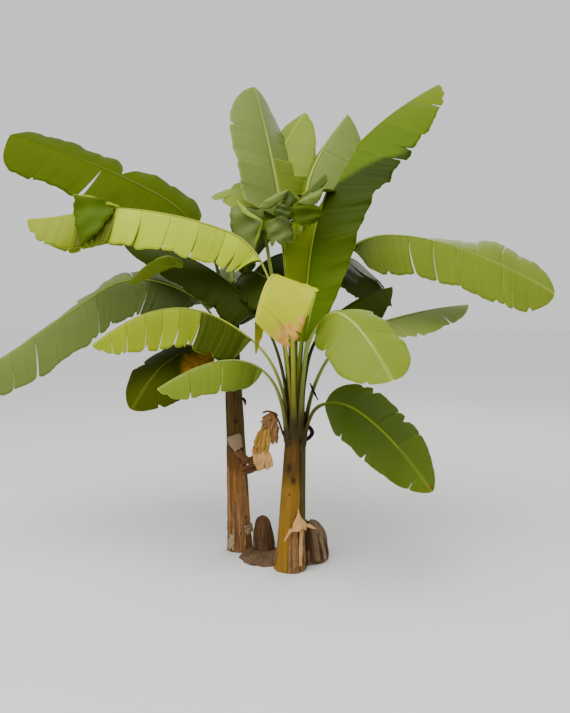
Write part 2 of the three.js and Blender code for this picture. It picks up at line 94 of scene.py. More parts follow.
# Leaves: z is the height at which the leaf starts on its stem, and seat its bearing and distance from the
# axis; heading is the bearings along the rib; climb is the rib's slope at the stem, on the stalk, at the
# blade's base and on to the tip; left and right are how far each half rises from level, and roll turns both
# about the rib. Slim is the part of the blade that each half takes to widen, blunt where the tip starts to
# narrow, and nicks how many each half has. Each tear is its place down the blade, where it starts out from
# the rib, its gap at the margin and the tone of the strip after it, 0 unless given.
# A tone is painted light and shade: 0 as the colour_and_light entry says, up to 1 painted shade and down to
# -1 painted light coming through; tones has the one for each half, or a run of them down its first strip.
# Scorch
# is a burnt patch: half, place, how far out, radius. Fold is a half's slanting line from painted shade to
# painted
# light: its place at the rib, how much further on at the margin, and the tone past it as far as the first
# tear.
# colour_and_light names the leaf's colour with its painted light. A half is 1 for left and -1 for right.
LEAVES = {
    "leaf_front_low": dict(
        z=0.78, seat=(336, 0.063), heading=[336], stalk=0.29, blade=0.82, width=0.42,
        climb=[90, 64, 15, -30, -42, -50, -50], left=[5], right=[5], roll=[40],
        tears=([(0.42, 0.8, 0.004), (0.62, 0.72, 0.003, -0.25)], [(0.86, 0.6, 0.005, -0.65)]), nicks=(3, 2),
        scorch=[(1, 0.98, 0.2, 0.035)], tones=(0.05, (0.15, 0.1, -0.2)), colour_and_light="shade"),
    "leaf_left_low": dict(
        z=0.8, seat=(206, 0.059), heading=[203], stalk=0.47, blade=0.66, width=0.36,
        climb=[90, 70, 38, 5, -14, -25, -32], left=[-65], right=[-50],
        tears=([(0.4, 0.25, 0.003, -0.6), (0.7, 0.78, 0.014, -0.6)], [(0.5, 0.2, 0.006, 0.2)]),
        nicks=(2, 3), tones=((0.6, 0.5, 0.1), 0.2), colour_and_light="clear"),
    "leaf_right_low": dict(
        z=0.82, seat=(18, 0.066), heading=[20], stalk=0.74, blade=0.87, width=0.4,
        climb=[90, 58, 27, 14, 12, 8, 4], left=[-20], right=[-30],
        tears=([(0.6, 0.2, 0.004)], [(0.3, 0.3, 0.004), (0.7, 0.3, 0.004)]), nicks=(3, 2), colour_and_light="pale"),
    "leaf_front_right": dict(
        seat=(308, 0.044), heading=[318, 310, 300, 300], stalk=0.72, blade=0.72, width=0.44,
        climb=[90, 79, 34, -18, -36, -44, -46], left=[-15], right=[0], roll=[35], blunt=0.55,
        tears=([(0.3, 0.8, 0.01), (0.52, 0.78, 0.008)], []), nicks=(3, 2), tones=(-0.05, 0.0),
        colour_and_light="clear"),
    "leaf_front_yellow": dict(
        seat=(255, 0.044), heading=[256, 247, 258], stalk=0.88, blade=0.6, width=0.54,
        climb=[90, 84, 50, -20, -42, -50], left=[-8, -25, -45], right=[-75], blunt=0.74,
        tears=([(0.8, 0.7, 0.012)], [(0.62, 0.7, 0.004)]), nicks=(3, 3),
        scorch=[(1, 0.8, 0.98, 0.13), (1, 0.6, 1.0, 0.06)], tones=(0.0, 0.1), colour_and_light="yellow"),
    "leaf_left_mid": dict(
        seat=(180, 0.046), heading=[192], stalk=0.6, blade=1.02, width=0.48,
        climb=[90, 66, 40, 26, -4, -28, -40], left=[-70], right=[0],
        tears=([(0.34, 0.35, 0.01, -1.3), (0.46, 0.55, 0.012, -1.05), (0.56, 0.6, 0.006, -1.2),
               (0.66, 0.35, 0.003, -0.9), (0.78, 0.45, 0.004, -1.0), (0.88, 0.4, 0.003, -0.9)],
               [(0.3, 0.3, 0.006, -0.9), (0.62, 0.2, 0.008, -0.9)]), nicks=(8, 4), tones=(0.95, 0.9),
        colour_and_light="lit"),
    "leaf_left_arch": dict(
        seat=(200, 0.024), heading=[184], stalk=1.02, blade=1.45, width=0.47,
        climb=[90, 80, 64, 20, 12, 4, -14, -2], left=[-70, -68, -66, -60, -40], right=[-40, -50], blunt=0.8,
        tears=([(0.07, 0.5, 0.02, -0.1), (0.13, 0.45, 0.03), (0.2, 0.6, 0.012, -0.1), (0.31, 0.1, 0.006),
               (0.43, 0.75, 0.008, 0.1), (0.545, 0.06, 0.006), (0.65, 0.06, 0.004, 1.0),
               (0.8, 0.04, 0.003, 0.72)], [(0.2, 0.3, 0.006, 0.1), (0.4, 0.2, 0.006, 0.1),
               (0.6, 0.3, 0.006, 0.1), (0.8, 0.3, 0.006, 0.1)]), nicks=(6, 5), tones=(-0.1, 0.1),
        colour_and_light="lime"),
    "leaf_right_arch": dict(
        seat=(352, 0.026), heading=[1], stalk=1.14, blade=1.36, width=0.5,
        climb=[90, 80, 42, 0, -14, -20, -26, -32], left=[-5, 15, 50, 62], right=[-70, -65], blunt=0.7,
        tears=([(0.3, 0.4, 0.004), (0.6, 0.3, 0.005), (0.72, 0.3, 0.004)], [(0.29, 0.12, 0.005, -0.65),
               (0.4, 0.18, 0.003, -0.7), (0.51, 0.25, 0.002, -0.75), (0.73, 0.45, 0.004, -0.75),
               (0.775, 0.6, 0.003, -0.75)]), nicks=(3, 4), tones=(0.2, (0.85, 0.65, 0.3)), colour_and_light="clear"),
    "leaf_top_right": dict(
        seat=(280, 0.03), heading=[30, 50, 52, 40, 32, 30, 30], stalk=0.52, blade=2.27, width=0.76,
        climb=[90, 85, 82, 80, 65, 45, 36, 30], left=[66, 66, 65, -10, -68, -74, -78, -79, -80],
        right=[12, 11, 7, -4, -20, -24, -21, -20, -20], roll=[10, 10, 8, 0, 0, 0, 0, 0, 0],
        slim=(2.0, 0.65), blunt=0.6, fold=(-1, 0.44, 0.24, 0.1),
        tears=([(0.33, 0.15, 0.004, 0.2), (0.69, 0.3, 0.004, 0.2), (0.82, 0.25, 0.006, 0.2)],
               [(0.59, 0.5, 0.005, 0.05), (0.72, 0.6, 0.008, -0.2), (0.87, 0.5, 0.014, -0.8)]),
        nicks=(7, 4), tones=(-1.6, (-0.2, 0.2, 0.8, 1.0)), colour_and_light="fresh"),
    "leaf_top_left": dict(
        seat=(110, 0.03), heading=[140, 140, 125, 115], stalk=1.29, blade=0.97, width=0.5,
        climb=[90, 85, 79, 71, 66, 62], left=[5], right=[20, 0, -20, -20], slim=(0.05, 0.16), blunt=0.5,
        tears=([], [(0.42, 0.1, 0.001, 0.9)]), nicks=(2, 2), tones=(0.0, -0.8), colour_and_light="sky"),
    "leaf_top_back": dict(
        seat=(130, 0.052), heading=[155, 155, 125, 50, 40], stalk=1.3, blade=0.92, width=0.51,
        climb=[90, 76, 75, 58, 52], left=[10], right=[-20], tears=([(0.8, 0.6, 0.004)], []),
        nicks=(1, 2), tones=(0.25, 0.2), colour_and_light="clear"),
    "leaf_top_mid": dict(
        seat=(95, 0.03), heading=[90, 70, 42, 42], stalk=1.44, blade=0.7, width=0.56,
        climb=[90, 85, 77, 58, 51, 45], left=[-20], right=[-40, -45], blunt=0.5,
        tears=([], [(0.5, 0.75, 0.008)]), nicks=(1, 3), tones=(-0.8, -0.1), colour_and_light="sky"),
    "leaf_furled": dict(
        seat=(180, 0.03), heading=[85, 85, 85, 0, -15], stalk=1.3, blade=0.31, width=0.1,
        climb=[90, 85, 85, 45, 40], left=[-70], right=[-70], slim=(0.02, 0.02), blunt=0.9,
        tears=([], []), nicks=(0, 0), tones=(0.35, 0.35), colour_and_light="shade"),
    "leaf_dark_left": dict(
        seat=(150, 0.046), heading=[168], stalk=0.72, blade=1.05, width=0.42,
        climb=[90, 74, 56, 38, 28, 15, 0], left=[-65, -60], right=[-65, -60],
        tears=([(0.35, 0.3, 0.006), (0.7, 0.3, 0.006)], [(0.5, 0.2, 0.008)]), nicks=(5, 5), colour_and_light="deep"),
    "leaf_back_left": dict(
        seat=(158, 0.024), heading=[136], stalk=1.18, blade=0.8, width=0.44,
        climb=[90, 86, 78, 40, 12, -12], left=[-20], right=[-20],
        tears=([(0.6, 0.3, 0.002)], [(0.4, 0.3, 0.002)]), nicks=(1, 1), tones=(-0.3, -0.3), colour_and_light="clear"),
    "leaf_dark_right": dict(
        seat=(42, 0.046), heading=[38], stalk=0.64, blade=0.72, width=0.42, climb=[90, 76, 44, 28, 18, 10],
        left=[-20], right=[-60], tears=([(0.5, 0.4, 0.004)], [(0.4, 0.5, 0.006)]), nicks=(4, 3),
        tones=(-0.35, -0.35), colour_and_light="deep"),
    "leaf_rear_right": dict(
        seat=(72, 0.048), heading=[55], stalk=0.95, blade=1.25, width=0.46,
        climb=[90, 80, 50, 15, -15, -30, -38], left=[-35], right=[-35],
        tears=([(0.4, 0.2, 0.006, 0.1), (0.7, 0.3, 0.01, -0.1)], [(0.3, 0.3, 0.008, 0.1),
               (0.6, 0.2, 0.006, -0.1)]), nicks=(6, 6), colour_and_light="deep"),
    "leaf_rear": dict(
        seat=(108, 0.048), heading=[100], stalk=0.85, blade=1.1, width=0.44,
        climb=[90, 78, 45, 10, -20, -35, -45], left=[-35], right=[-35],
        tears=([(0.4, 0.2, 0.006, 0.1), (0.7, 0.3, 0.01, -0.1)], [(0.5, 0.2, 0.006, -0.1)]), nicks=(6, 6),
        colour_and_light="shade"),
    "second_leaf_patched": dict(
        z=1.12, seat=(222, 0.056), heading=[224], stalk=0.22, blade=0.72, width=0.42,
        climb=[90, 55, 30, -20, -45, -60], left=[-20], right=[-10], roll=[-30],
        tears=([(0.5, 0.5, 0.003)], [(0.6, 0.4, 0.003)]), nicks=(3, 3),
        scorch=[(1, 0.12, 0.55, 0.19), (1, 0.3, 0.62, 0.15), (-1, 0.1, 0.3, 0.12)], colour_and_light="patched"),
    "second_leaf_long": dict(
        z=1.23, seat=(188, 0.052), heading=[189], stalk=0.44, blade=1.68, width=0.5,
        climb=[90, 70, 40, 10, -34, -36, -34, -28], left=[-65], right=[35, 10], blunt=0.7,
        tears=([(0.22, 0.3, 0.002, -0.2), (0.43, 0.4, 0.001, -0.45), (0.7, 0.12, 0.01, -0.5),
               (0.8, 0.5, 0.002, -0.5)], [(0.28, 0.2, 0.012, -0.4), (0.5, 0.3, 0.006), (0.7, 0.4, 0.006)]),
        nicks=(6, 4), tones=(0.55, 0.0), colour_and_light="sky"),
    "second_leaf_high": dict(
        z=1.35, seat=(165, 0.038), heading=[180], stalk=0.82, blade=1.34, width=0.5,
        climb=[90, 78, 50, 28, 23, 20, 16], left=[-15], right=[0], roll=[-40], blunt=0.86,
        tears=([(0.53, 0.06, 0.03)], [(0.44, 0.12, 0.12)]), nicks=(2, 2), colour_and_light="glow"),
    "second_leaf_young": dict(
        z=1.35, seat=(20, 0.012), heading=[312, 325, 345, 335], stalk=0.47, blade=0.4, width=0.29,
        climb=[90, 80, 68, 55, 50], left=[10], right=[10], tears=([], []), nicks=(1, 1),
        tones=(0.2, 0.2), colour_and_light="shade"),
    "second_leaf_front": dict(
        z=1.35, seat=(290, 0.036), heading=[180, 318, 318, 305], stalk=0.42, blade=0.5, width=0.44,
        climb=[90, 84, 60, -15, -35, -50], left=[-20], right=[-50],
        tears=([(0.5, 0.4, 0.004)], [(0.6, 0.4, 0.004)]), nicks=(3, 3), colour_and_light="deep"),
    "second_leaf_rear_right": dict(
        z=1.35, seat=(50, 0.04), heading=[40], stalk=0.5, blade=0.95, width=0.42,
        climb=[90, 74, 50, 15, -20, -35], left=[-40], right=[-40],
        tears=([(0.5, 0.2, 0.006)], [(0.4, 0.2, 0.006), (0.7, 0.3, 0.006)]), nicks=(5, 5), colour_and_light="deep"),
    "second_leaf_rear": dict(
        z=1.35, seat=(95, 0.04), heading=[95], stalk=0.45, blade=1.15, width=0.44,
        climb=[90, 74, 50, 20, -10, -30, -40], left=[-35], right=[-35],
        tears=([(0.4, 0.2, 0.006), (0.7, 0.2, 0.006)], [(0.6, 0.2, 0.006)]), nicks=(6, 5), colour_and_light="shade"),
    "second_leaf_rear_left": dict(
        z=1.3, seat=(138, 0.054), heading=[140], stalk=0.4, blade=1.05, width=0.42,
        climb=[90, 70, 45, 10, -25, -40, -45], left=[-40], right=[-40],
        tears=([(0.45, 0.2, 0.006)], [(0.5, 0.2, 0.006), (0.75, 0.2, 0.006)]), nicks=(5, 5),
        colour_and_light="shade"),
    "dead_leaf": dict(
        z=0.79, seat=(172, 0.062), heading=[172, 185, 205, 195], stalk=0.17, blade=0.4, width=0.15,
        climb=[72, 72, 50, -55, -62, -66, -72], colour_and_light="dead"),
}

# What holds for a leaf unless its own entry says otherwise.
LEAF = dict(z=0.86, roll=[0], slim=(BASE_PART, BASE_PART), blunt=TIP_PART, tones=(0.0, 0.0), scorch=[],
            fold=None)
for name, leaf in LEAVES.items():
    LEAVES[name] = {**LEAF, "stem": STEMS["second" if name.startswith("second") else "main"], **leaf}

# Leaf colours, most with painted light: upper face, underside and rib, as linear colours, how much of the
# edge is dry, and for some the colour of burnt patches and how glossy the face is. Shade and deep are
# darkened with painted shade, glow and backlit paint light coming through the leaf, sky paints the sky's grey
# sheen on the face, pale is clear with painted light on its upper face, and lit and lime are one green with
# less and more painted light.
LEAF_COLOURS_AND_PAINTED_LIGHT = {
    "sky": dict(top=(0.118, 0.160, 0.030), under=(0.090, 0.138, 0.005), rib=(0.30, 0.37, 0.060), dry=0.08),
    "clear": dict(top=(0.160, 0.215, 0.014), under=(0.130, 0.190, 0.007), rib=(0.33, 0.42, 0.080), dry=0.08,
                  gloss=0.10),
    "pale": dict(top=(0.210, 0.270, 0.050), under=(0.130, 0.190, 0.007), rib=(0.33, 0.42, 0.080), dry=0.08),
    "lit": dict(top=(0.235, 0.290, 0.008), under=(0.190, 0.240, 0.006), rib=(0.42, 0.46, 0.060), dry=0.15,
                gloss=0.07),
    "lime": dict(top=(0.370, 0.450, 0.012), under=(0.190, 0.240, 0.006), rib=(0.42, 0.46, 0.060), dry=0.15,
                 gloss=0.08),
    "fresh": dict(top=(0.075, 0.125, 0.003), under=(0.075, 0.120, 0.002), rib=(0.22, 0.30, 0.020), dry=0.08,
                  gloss=0.04),
    "glow": dict(top=(0.050, 0.076, 0.0003), under=(0.050, 0.076, 0.0003), rib=(0.075, 0.105, 0.001),
                 dry=0.05, gloss=0.02),
    "shade": dict(top=(0.055, 0.090, 0.005), under=(0.060, 0.092, 0.003), rib=(0.21, 0.28, 0.015), dry=0.10),
    "deep": dict(top=(0.026, 0.042, 0.002), under=(0.030, 0.048, 0.002), rib=(0.060, 0.080, 0.006), dry=0.10,
                 gloss=0.06),
    "yellow": dict(top=(0.375, 0.405, 0.009), under=(0.330, 0.310, 0.010), rib=(0.46, 0.46, 0.05), dry=0.05,
                   burnt=(0.58, 0.30, 0.07), gloss=0.07),
    "patched": dict(top=(0.040, 0.050, 0.001), under=(0.045, 0.052, 0.001), rib=(0.11, 0.12, 0.010), dry=0.35,
                    burnt=(0.56, 0.28, 0.009), gloss=0.03),
    "dead": dict(top=(0.190, 0.085, 0.030), under=(0.230, 0.125, 0.050), rib=(0.12, 0.060, 0.022), dry=0.3),
}
BLACK = (0.0, 0.0, 0.0)
# The painted light coming through a leaf and the painted shade that a leaf's tone mixes toward.
LIGHT_THROUGH = (0.115, 0.155, 0.002)
IN_SHADE = (0.016, 0.026, 0.002)
EDGE_TAN = ((0.34, 0.15, 0.025), (0.13, 0.055, 0.014))
FOOT_OLIVE = (0.085, 0.075, 0.014)
STALK_FOOT = ((0.050, 0.032, 0.008), (0.016, 0.010, 0.003))
STALK_EDGE = (0.045, 0.024, 0.006)
STALK_SPOT = (0.10, 0.06, 0.015)
SHEATH_STRAW = ((0.085, 0.034, 0.010), (0.36, 0.20, 0.085))
SLOT_OF = {"yellow": "leaf_yellow", "dead": "dead"}


# Shader maths

class Wire:
    """A shader socket on which Python's operators work: each one adds a Math node."""

    def __init__(self, paint, socket):
        self.paint, self.socket = paint, socket

    def _math(self, operation, *values):
        return self.paint.node("ShaderNodeMath", {"operation": operation}, dict(enumerate(values)))

    def __add__(self, other):
        return self._math("ADD", self, other)

    def __sub__(self, other):
        return self._math("SUBTRACT", self, other)

    def __rsub__(self, other):
        return self._math("SUBTRACT", other, self)

    def __mul__(self, other):
        return self._math("MULTIPLY", self, other)

    def sin(self):
        return self._math("SINE", self)

    def clip(self):
        """Held between 0 and 1."""
        return self.paint.node("ShaderNodeClamp", {}, {0: self})

    def step(self, low, high):
        """0 below low, 1 above high, and a smooth rise between."""
        return self.paint.node("ShaderNodeMapRange", {"interpolation_type": "SMOOTHSTEP"},
                               {0: self, 1: low, 2: high})

    __radd__ = __add__
    __rmul__ = __mul__


class Paint:
    """One material: a Principled surface and the nodes that feed it."""

    def __init__(self, name, roughness, specular):
        self.material = bpy.data.materials.new(name)
        self.material.use_nodes = True
        self.tree = self.material.node_tree
        self.surface = self.tree.nodes["Principled BSDF"]
        self.surface.inputs["Roughness"].default_value = roughness
        self.surface.inputs["Specular IOR Level"].default_value = specular

    def node(self, kind, settings, sockets, output=0):
        """Adds a node: its settings first, then the values or links of its sockets."""
        made = self.tree.nodes.new(kind)
        for key, value in settings.items():
            setattr(made, key, value)
        for key, value in sockets.items():
            if isinstance(value, Wire):
                self.tree.links.new(value.socket, made.inputs[key])
            elif made.inputs[key].type == "RGBA":
                made.inputs[key].default_value = (*value, 1.0)
            else:
                made.inputs[key].default_value = value
        return Wire(self, made.outputs[output])

    def feed(self, socket, wire):
        """Links a wire to a socket of the surface."""
        self.tree.links.new(wire.socket, self.surface.inputs[socket])

    def mix(self, factor, first, second):
        """A colour between first and second."""
        return self.node("ShaderNodeMix", {"data_type": "RGBA"}, {0: factor, 6: first, 7: second}, output=2)

    def place(self):
        """Where a point is, in metres."""
        return self.node("ShaderNodeTexCoord", {}, {}, output="Object")

    def stretched(self, place, *scale):
        """A place scaled along each axis, so that noise on it is finer where the scale is larger."""
        return self.node("ShaderNodeMapping", {}, {"Vector": place, "Scale": scale})

    def noise(self, vector, scale, detail, rough=0.55):
        """Noise that changes in every direction, scale times in a metre."""
        return self.node("ShaderNodeTexNoise", {},
                         {"Vector": vector, "Scale": scale, "Detail": detail, "Roughness": rough})

    def noise_line(self, along, scale, detail=3.0):
        """Noise that changes only with along."""
        return self.node("ShaderNodeTexNoise", {"noise_dimensions": "1D"},
                         {"W": along, "Scale": scale, "Detail": detail})

    def attributes(self, *names):
        """The marks of these names, as wires."""
        return [self.node("ShaderNodeAttribute", {"attribute_name": name}, {}, output="Fac")
                for name in names]

    def bump(self, height, strength, distance):
        """Relief of the given height; strength is the share of it that shows."""
        relief = self.node("ShaderNodeBump", {},
                           {"Height": height, "Strength": strength, "Distance": distance})
        self.feed("Normal", relief)


def times(color, k):
    """A colour made k times as bright."""
    return tuple(min(1.0, k * c) for c in color)


def leaf_paint(name, top, under, rib, dry, burnt=(0.15, 0.055, 0.004), gloss=0.13):
    """A leaf blade: fine veins out from the rib, the rib's colour beside it, another underneath, dry edges.

    The attribute along runs down the blade and is the same along a vein, across is the distance
    from the rib, margin rises to 1 at the edge and by a tear, below is 1 underneath, tone is painted
    shade toward 1 and painted light coming through toward -1, with a small random part of the strip's
    own, and scorch rises to 1 at the middle of a burnt patch.
    """
    p = Paint(name, roughness=0.45, specular=gloss)
    along, across, margin = p.attributes("along", "across", "margin")
    below, tone, scorch = p.attributes("below", "tone", "scorch")
    place = p.place()
    vein = (along * (2 * math.pi / VEIN_STEP) + p.noise_line(along, 40.0, 2.0) * 3.0).sin() * 0.5 + 0.5
    pleat = p.noise_line(along, 42.0)
    cloud = p.noise(place, 3.2, 4.0)
    fleck = p.noise(place, 38.0, 3.0)
    face = p.mix(below, top, under)
    # Painted shade where tone is above 0, and painted light coming through the leaf where it is below 0.
    face = p.mix(tone.clip(), face, IN_SHADE)
    face = p.mix((0.0 - tone).clip(), face, LIGHT_THROUGH)
    face = p.mix((cloud * 1.9 - 0.62).clip() * 0.45, face, p.mix(0.42, face, BLACK))
    # Painted light along the pleats: lighter where the pleat noise is high.
    face = p.mix((pleat * 2.2 - 0.85).clip() * 0.30, face, p.mix(0.25, face, times(top, 2.0)))
    face = p.mix(vein * 0.09, face, times(top, 1.7))
    face = p.mix((1.0 - across.step(0.0, 0.016)) * 0.45, face, rib)
    face = p.mix(margin.step(0.90, 1.0) * 0.35, face, times(rib, 1.5))
    edge = (margin * 0.55 + p.noise(place, 9.0, 4.0) * 0.9 - (1.22 - 0.55 * dry)).step(0.0, 0.10)
    face = p.mix(edge, face, p.mix((fleck * 2.0 - 0.6).clip(), *EDGE_TAN))
    burn = (scorch * 1.5 + cloud * 0.7 - 0.55).step(0.0, 0.75)
    face = p.mix(burn * 0.9, face, p.mix((fleck * 2.4 - 0.9).clip(), burnt, times(burnt, 0.35)))
    p.feed("Base Color", face)
    p.feed("Roughness", 0.40 + below * 0.14 + cloud * 0.14 + edge * 0.2)
    p.bump(vein * 0.22 + pleat * 0.9 + fleck * 0.10, 0.35, 0.003)
    return p.material


def rib_paint(name, rib, base):
    """A leaf's stalk and rib: yellow green with streaks, olive to brown down its foot, with brown edges."""
    p = Paint(name, roughness=0.45, specular=0.12)
    along, turn, margin = p.attributes("along", "across", "margin")
    streak = p.noise_line(turn, 30.0)
    cloud = p.noise(p.place(), 9.0, 4.0)
    foot = 1.0 - (along + cloud * 0.25).step(0.15, 0.75)
    low = 1.0 - (along + cloud * 0.12 + streak * 0.05).step(0.11, 0.26)
    face = p.mix(streak * 0.45, rib, times(rib, 0.55))
    face = p.mix(foot * 0.85, face, p.mix(streak, base, times(base, 0.5)))
    face = p.mix(low * 0.95, face, p.mix((streak * 2.0 - 0.5).clip(), *STALK_FOOT))
    face = p.mix(margin * foot * 0.7, face, STALK_EDGE)
    face = p.mix((cloud * 3.0 - 1.75).clip() * 0.5, face, STALK_SPOT)
    p.feed("Base Color", face)
    p.feed("Roughness", 0.40 + cloud * 0.25)
    p.bump(streak + cloud * 0.4, 0.35, 0.003)
    return p.material


def stem_paint(name, olive, gold, brown, dark, brown_from, dark_from):
    """A stem of rolled sheaths, streaked lengthwise and dark by each sheath's edge.

    Olive turns to gold by the mark of that name and to straw fibres where husk is set. Above
    brown_from it browns, above dark_from it is dark, and blotches darken it here and there.
    """
    p = Paint(name, roughness=0.5, specular=0.12)
    high, seam, is_gold, is_husk, spot = p.attributes("high", "seam", "gold", "husk", "spot")
    place = p.place()
    streak = p.noise(p.stretched(place, 26.0, 26.0, 1.5), 1.0, 5.0, 0.6)
    fibre = p.noise(p.stretched(place, 120.0, 120.0, 5.0), 1.0, 3.0, 0.6)
    cloud = p.noise(place, 9.0, 4.0)
    blotch = p.noise(p.stretched(place, 34.0, 34.0, 13.0), 1.0, 3.0, 0.5)
    face = p.mix((streak * 2.6 - 0.8).clip() * 0.8, olive, times(olive, 0.45))
    face = p.mix(is_gold, face, p.mix((streak * 2.4 - 0.85).clip() * 0.75, gold, brown))
    browner = (high + cloud * 0.22 + streak * 0.10).step(brown_from + 0.10, brown_from + 0.24)
    face = p.mix(browner * (is_gold * 0.55 + 0.35), face, p.mix(fibre, brown, times(brown, 0.4)))
    face = p.mix(((blotch * 4.0 - 2.55).clip() + (spot * 2.5 + fibre - 0.9).clip()).clip() * 0.85, face, dark)
    face = p.mix((fibre * 2.2 - 1.05).clip() * 0.35, face, times(gold, 1.7))
    face = p.mix(is_husk * 0.92, face, p.mix((fibre * 2.4 - 0.75).clip(), *SHEATH_STRAW))
    face = p.mix(seam * 0.8, face, times(dark, 0.5))
    darker = (high + cloud * 0.16 + fibre * 0.05).step(dark_from + 0.06, dark_from + 0.15)
    face = p.mix(darker * 0.9, face, p.mix(fibre, dark, times(dark, 2.6)))
    p.feed("Base Color", face)
    p.feed("Roughness", 0.45 + cloud * 0.25 + is_husk * 0.2)
    p.bump(streak * 0.5 + fibre * 0.8 - seam * 0.4, 0.6, 0.004)
    return p.material


def shred_paint(name, light, dark):
    """Dry strips: fibres along their length from light to dark, each strip with its own tone."""
    p = Paint(name, roughness=0.8, specular=0.15)
    across, tone, margin, below = p.attributes("across", "tone", "margin", "below")
    cloud = p.noise(p.place(), 24.0, 4.0)
    fibre = p.noise_line(across, 420.0)
    face = p.mix((tone * 0.75 + fibre * 0.9 - 0.38).clip(), light, dark)
    face = p.mix((cloud * 2.4 - 1.1).clip() * 0.5, face, dark)
    face = p.mix(below * 0.35, face, times(dark, 0.5))
    face = p.mix(margin.step(0.5, 1.0) * 0.25, face, times(light, 1.3))
    p.feed("Base Color", face)
    p.bump(fibre + cloud * 0.6, 0.6, 0.002)
    return p.material


def husk_paint(name, light, dark):
    """Dry fibrous husk of an old stump."""
    p = Paint(name, roughness=0.85, specular=0.2)
    place = p.place()
    strand = p.noise(p.stretched(place, 70.0, 70.0, 9.0), 1.0, 4.0, 0.6)
    cloud = p.noise(place, 11.0, 4.0)
    face = p.mix((strand * 1.8 - 0.4).clip(), dark, light)
    face = p.mix((cloud * 2.2 - 0.8).clip() * 0.6, face, times(dark, 0.4))
    p.feed("Base Color", face)
    p.bump(strand + cloud * 0.5, 0.8, 0.006)
    return p.material


def floor_paint(name, color):
    """One pale colour with a faint mottle."""
    p = Paint(name, roughness=0.9, specular=0.2)
    mottle = p.noise(p.place(), 0.8, 3.0)
    p.feed("Base Color", p.mix(mottle * 0.25, color, times(color, 0.92)))
    return p.material


# Surfaces: each gives vertices, faces and marks, which are numbers on its vertices

def add_mesh(name, vertices, faces, marks, material, slot):
    """Makes an object from vertices, a list of faces and marks, which become its attributes."""
    mesh = bpy.data.meshes.new(name)
    mesh.from_pydata(vertices.tolist(), [], faces)
    for key, values in marks.items():
        layer = mesh.attributes.new(key, "FLOAT", "POINT")
        layer.data.foreach_set("value", np.asarray(values, dtype=np.float32))
    mesh.polygons.foreach_set("use_smooth", np.full(len(mesh.polygons), True))
    mesh.materials.append(material)
    mesh.update()
    obj = bpy.data.objects.new(name, mesh)
    bpy.context.collection.objects.link(obj)
    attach(obj, "root")
    return obj


def add_tube(name, vertices, quads, fans, marks, material, slot):
    """Like add_mesh, for quads closed by triangle fans, turned to face outward."""
    obj = add_mesh(name, vertices, quads.tolist() + fans.tolist(), marks, material, slot)
    a, b, c, d = (vertices[quads[:, k]] for k in range(4))
    volume = np.einsum("ij,ij->i", a, np.cross(b, c)).sum() + np.einsum("ij,ij->i", a, np.cross(c, d)).sum()
    if volume < 0:
        obj.data.flip_normals()
    return obj


def unit(x):
    """x held between 0 and 1."""
    return np.clip(x, 0, 1)


def toward(degrees):
    """The level unit vector at a bearing, or at each of an array of bearings."""
    a = np.radians(degrees)
    return np.stack([np.cos(a), np.sin(a), 0 * a], -1)


def grid_quads(rows, columns, wrap=False):
    """The quads of a rows by columns grid of vertices, closed round its columns if wrap is set."""
    i = np.arange(rows - 1)[:, None]
    j = np.arange(columns if wrap else columns - 1)[None, :]
    k = (j + 1) % columns
    return np.stack(np.broadcast_arrays(i * columns + j, (i + 1) * columns + j,
                                        (i + 1) * columns + k, i * columns + k), -1).reshape(-1, 4)


def closed_tube(grid, ends, marks):
    """A tube from rows of points round it, closed at both ends by fans about the two given points.

    Marks are arrays that spread over the grid, each with its values at the two points.
    """
    rows, columns, _ = grid.shape
    j = np.arange(columns)
    k = (j + 1) % columns
    centre = np.full(columns, rows * columns)
    fans = np.vstack([np.stack([centre, j, k], -1),
                      np.stack([centre + 1, (rows - 1) * columns + k, (rows - 1) * columns + j], -1)])
    marks = {key: np.append(np.broadcast_to(values, (rows, columns)), at_ends)
             for key, (values, at_ends) in marks.items()}
    return np.vstack([grid.reshape(-1, 3), ends]), grid_quads(rows, columns, wrap=True), fans, marks


def sheet(surface, normal, marks):
    """A thin closed shell on both sides of a grid of points; the mark below is 1 underneath."""
    rows, columns, _ = surface.shape
    size = rows * columns
    normal = normal / np.maximum(np.linalg.norm(normal, axis=2, keepdims=True), 1e-9)
    sides = [surface + normal * SHEET_THICK / 2, surface - normal * SHEET_THICK / 2]
    quads = grid_quads(rows, columns)
    index = np.arange(size).reshape(rows, columns)
    loop = np.concatenate([index[0, :-1], index[:-1, -1], index[-1, :0:-1], index[:0:-1, 0]])
    ahead = np.roll(loop, -1)
    rim = np.stack([loop, ahead, ahead + size, loop + size], -1)
    marks = {key: np.tile(np.broadcast_to(values, (rows, columns)).ravel(), 2)
             for key, values in marks.items()}
    marks["below"] = np.repeat([0.0, 1.0], size)
    return np.vstack(sides).reshape(-1, 3), np.vstack([quads, quads[:, ::-1] + size, rim]), marks


def joined(parts):
    """Joins (vertices, quads, marks) parts into one, with its faces as a list."""
    starts = np.cumsum([0] + [len(vertices) for vertices, _, _ in parts])
    quads = np.vstack([faces + start for (_, faces, _), start in zip(parts, starts)])
    marks = {key: np.concatenate([part[2][key] for part in parts]) for key in parts[0][2]}
    return np.vstack([part[0] for part in parts]), quads.tolist(), marks


def knots(leaf):
    """Where the slopes in climb hold, as distances along the rib."""
    steps = np.linspace(0.0, leaf["blade"], len(leaf["climb"]) - 2)
    return np.concatenate([[0.0, 0.6 * leaf["stalk"]], leaf["stalk"] + steps])


def even(values, x):
    """The value at fraction x of a list of evenly spaced values."""
    return np.interp(x, np.linspace(0.0, 1.0, len(values)), values) if len(values) > 1 else x * 0 + values[0]


def stem_axis(stem, z):
    """A point on a stem's straight, leaning axis at height z."""
    t = np.asarray(z) / stem["height"]
    (x0, y0), (x1, y1) = stem["foot"], stem["top"]
    return np.stack([x0 + (x1 - x0) * t, y0 + (y1 - y0) * t, t * stem["height"]], -1)


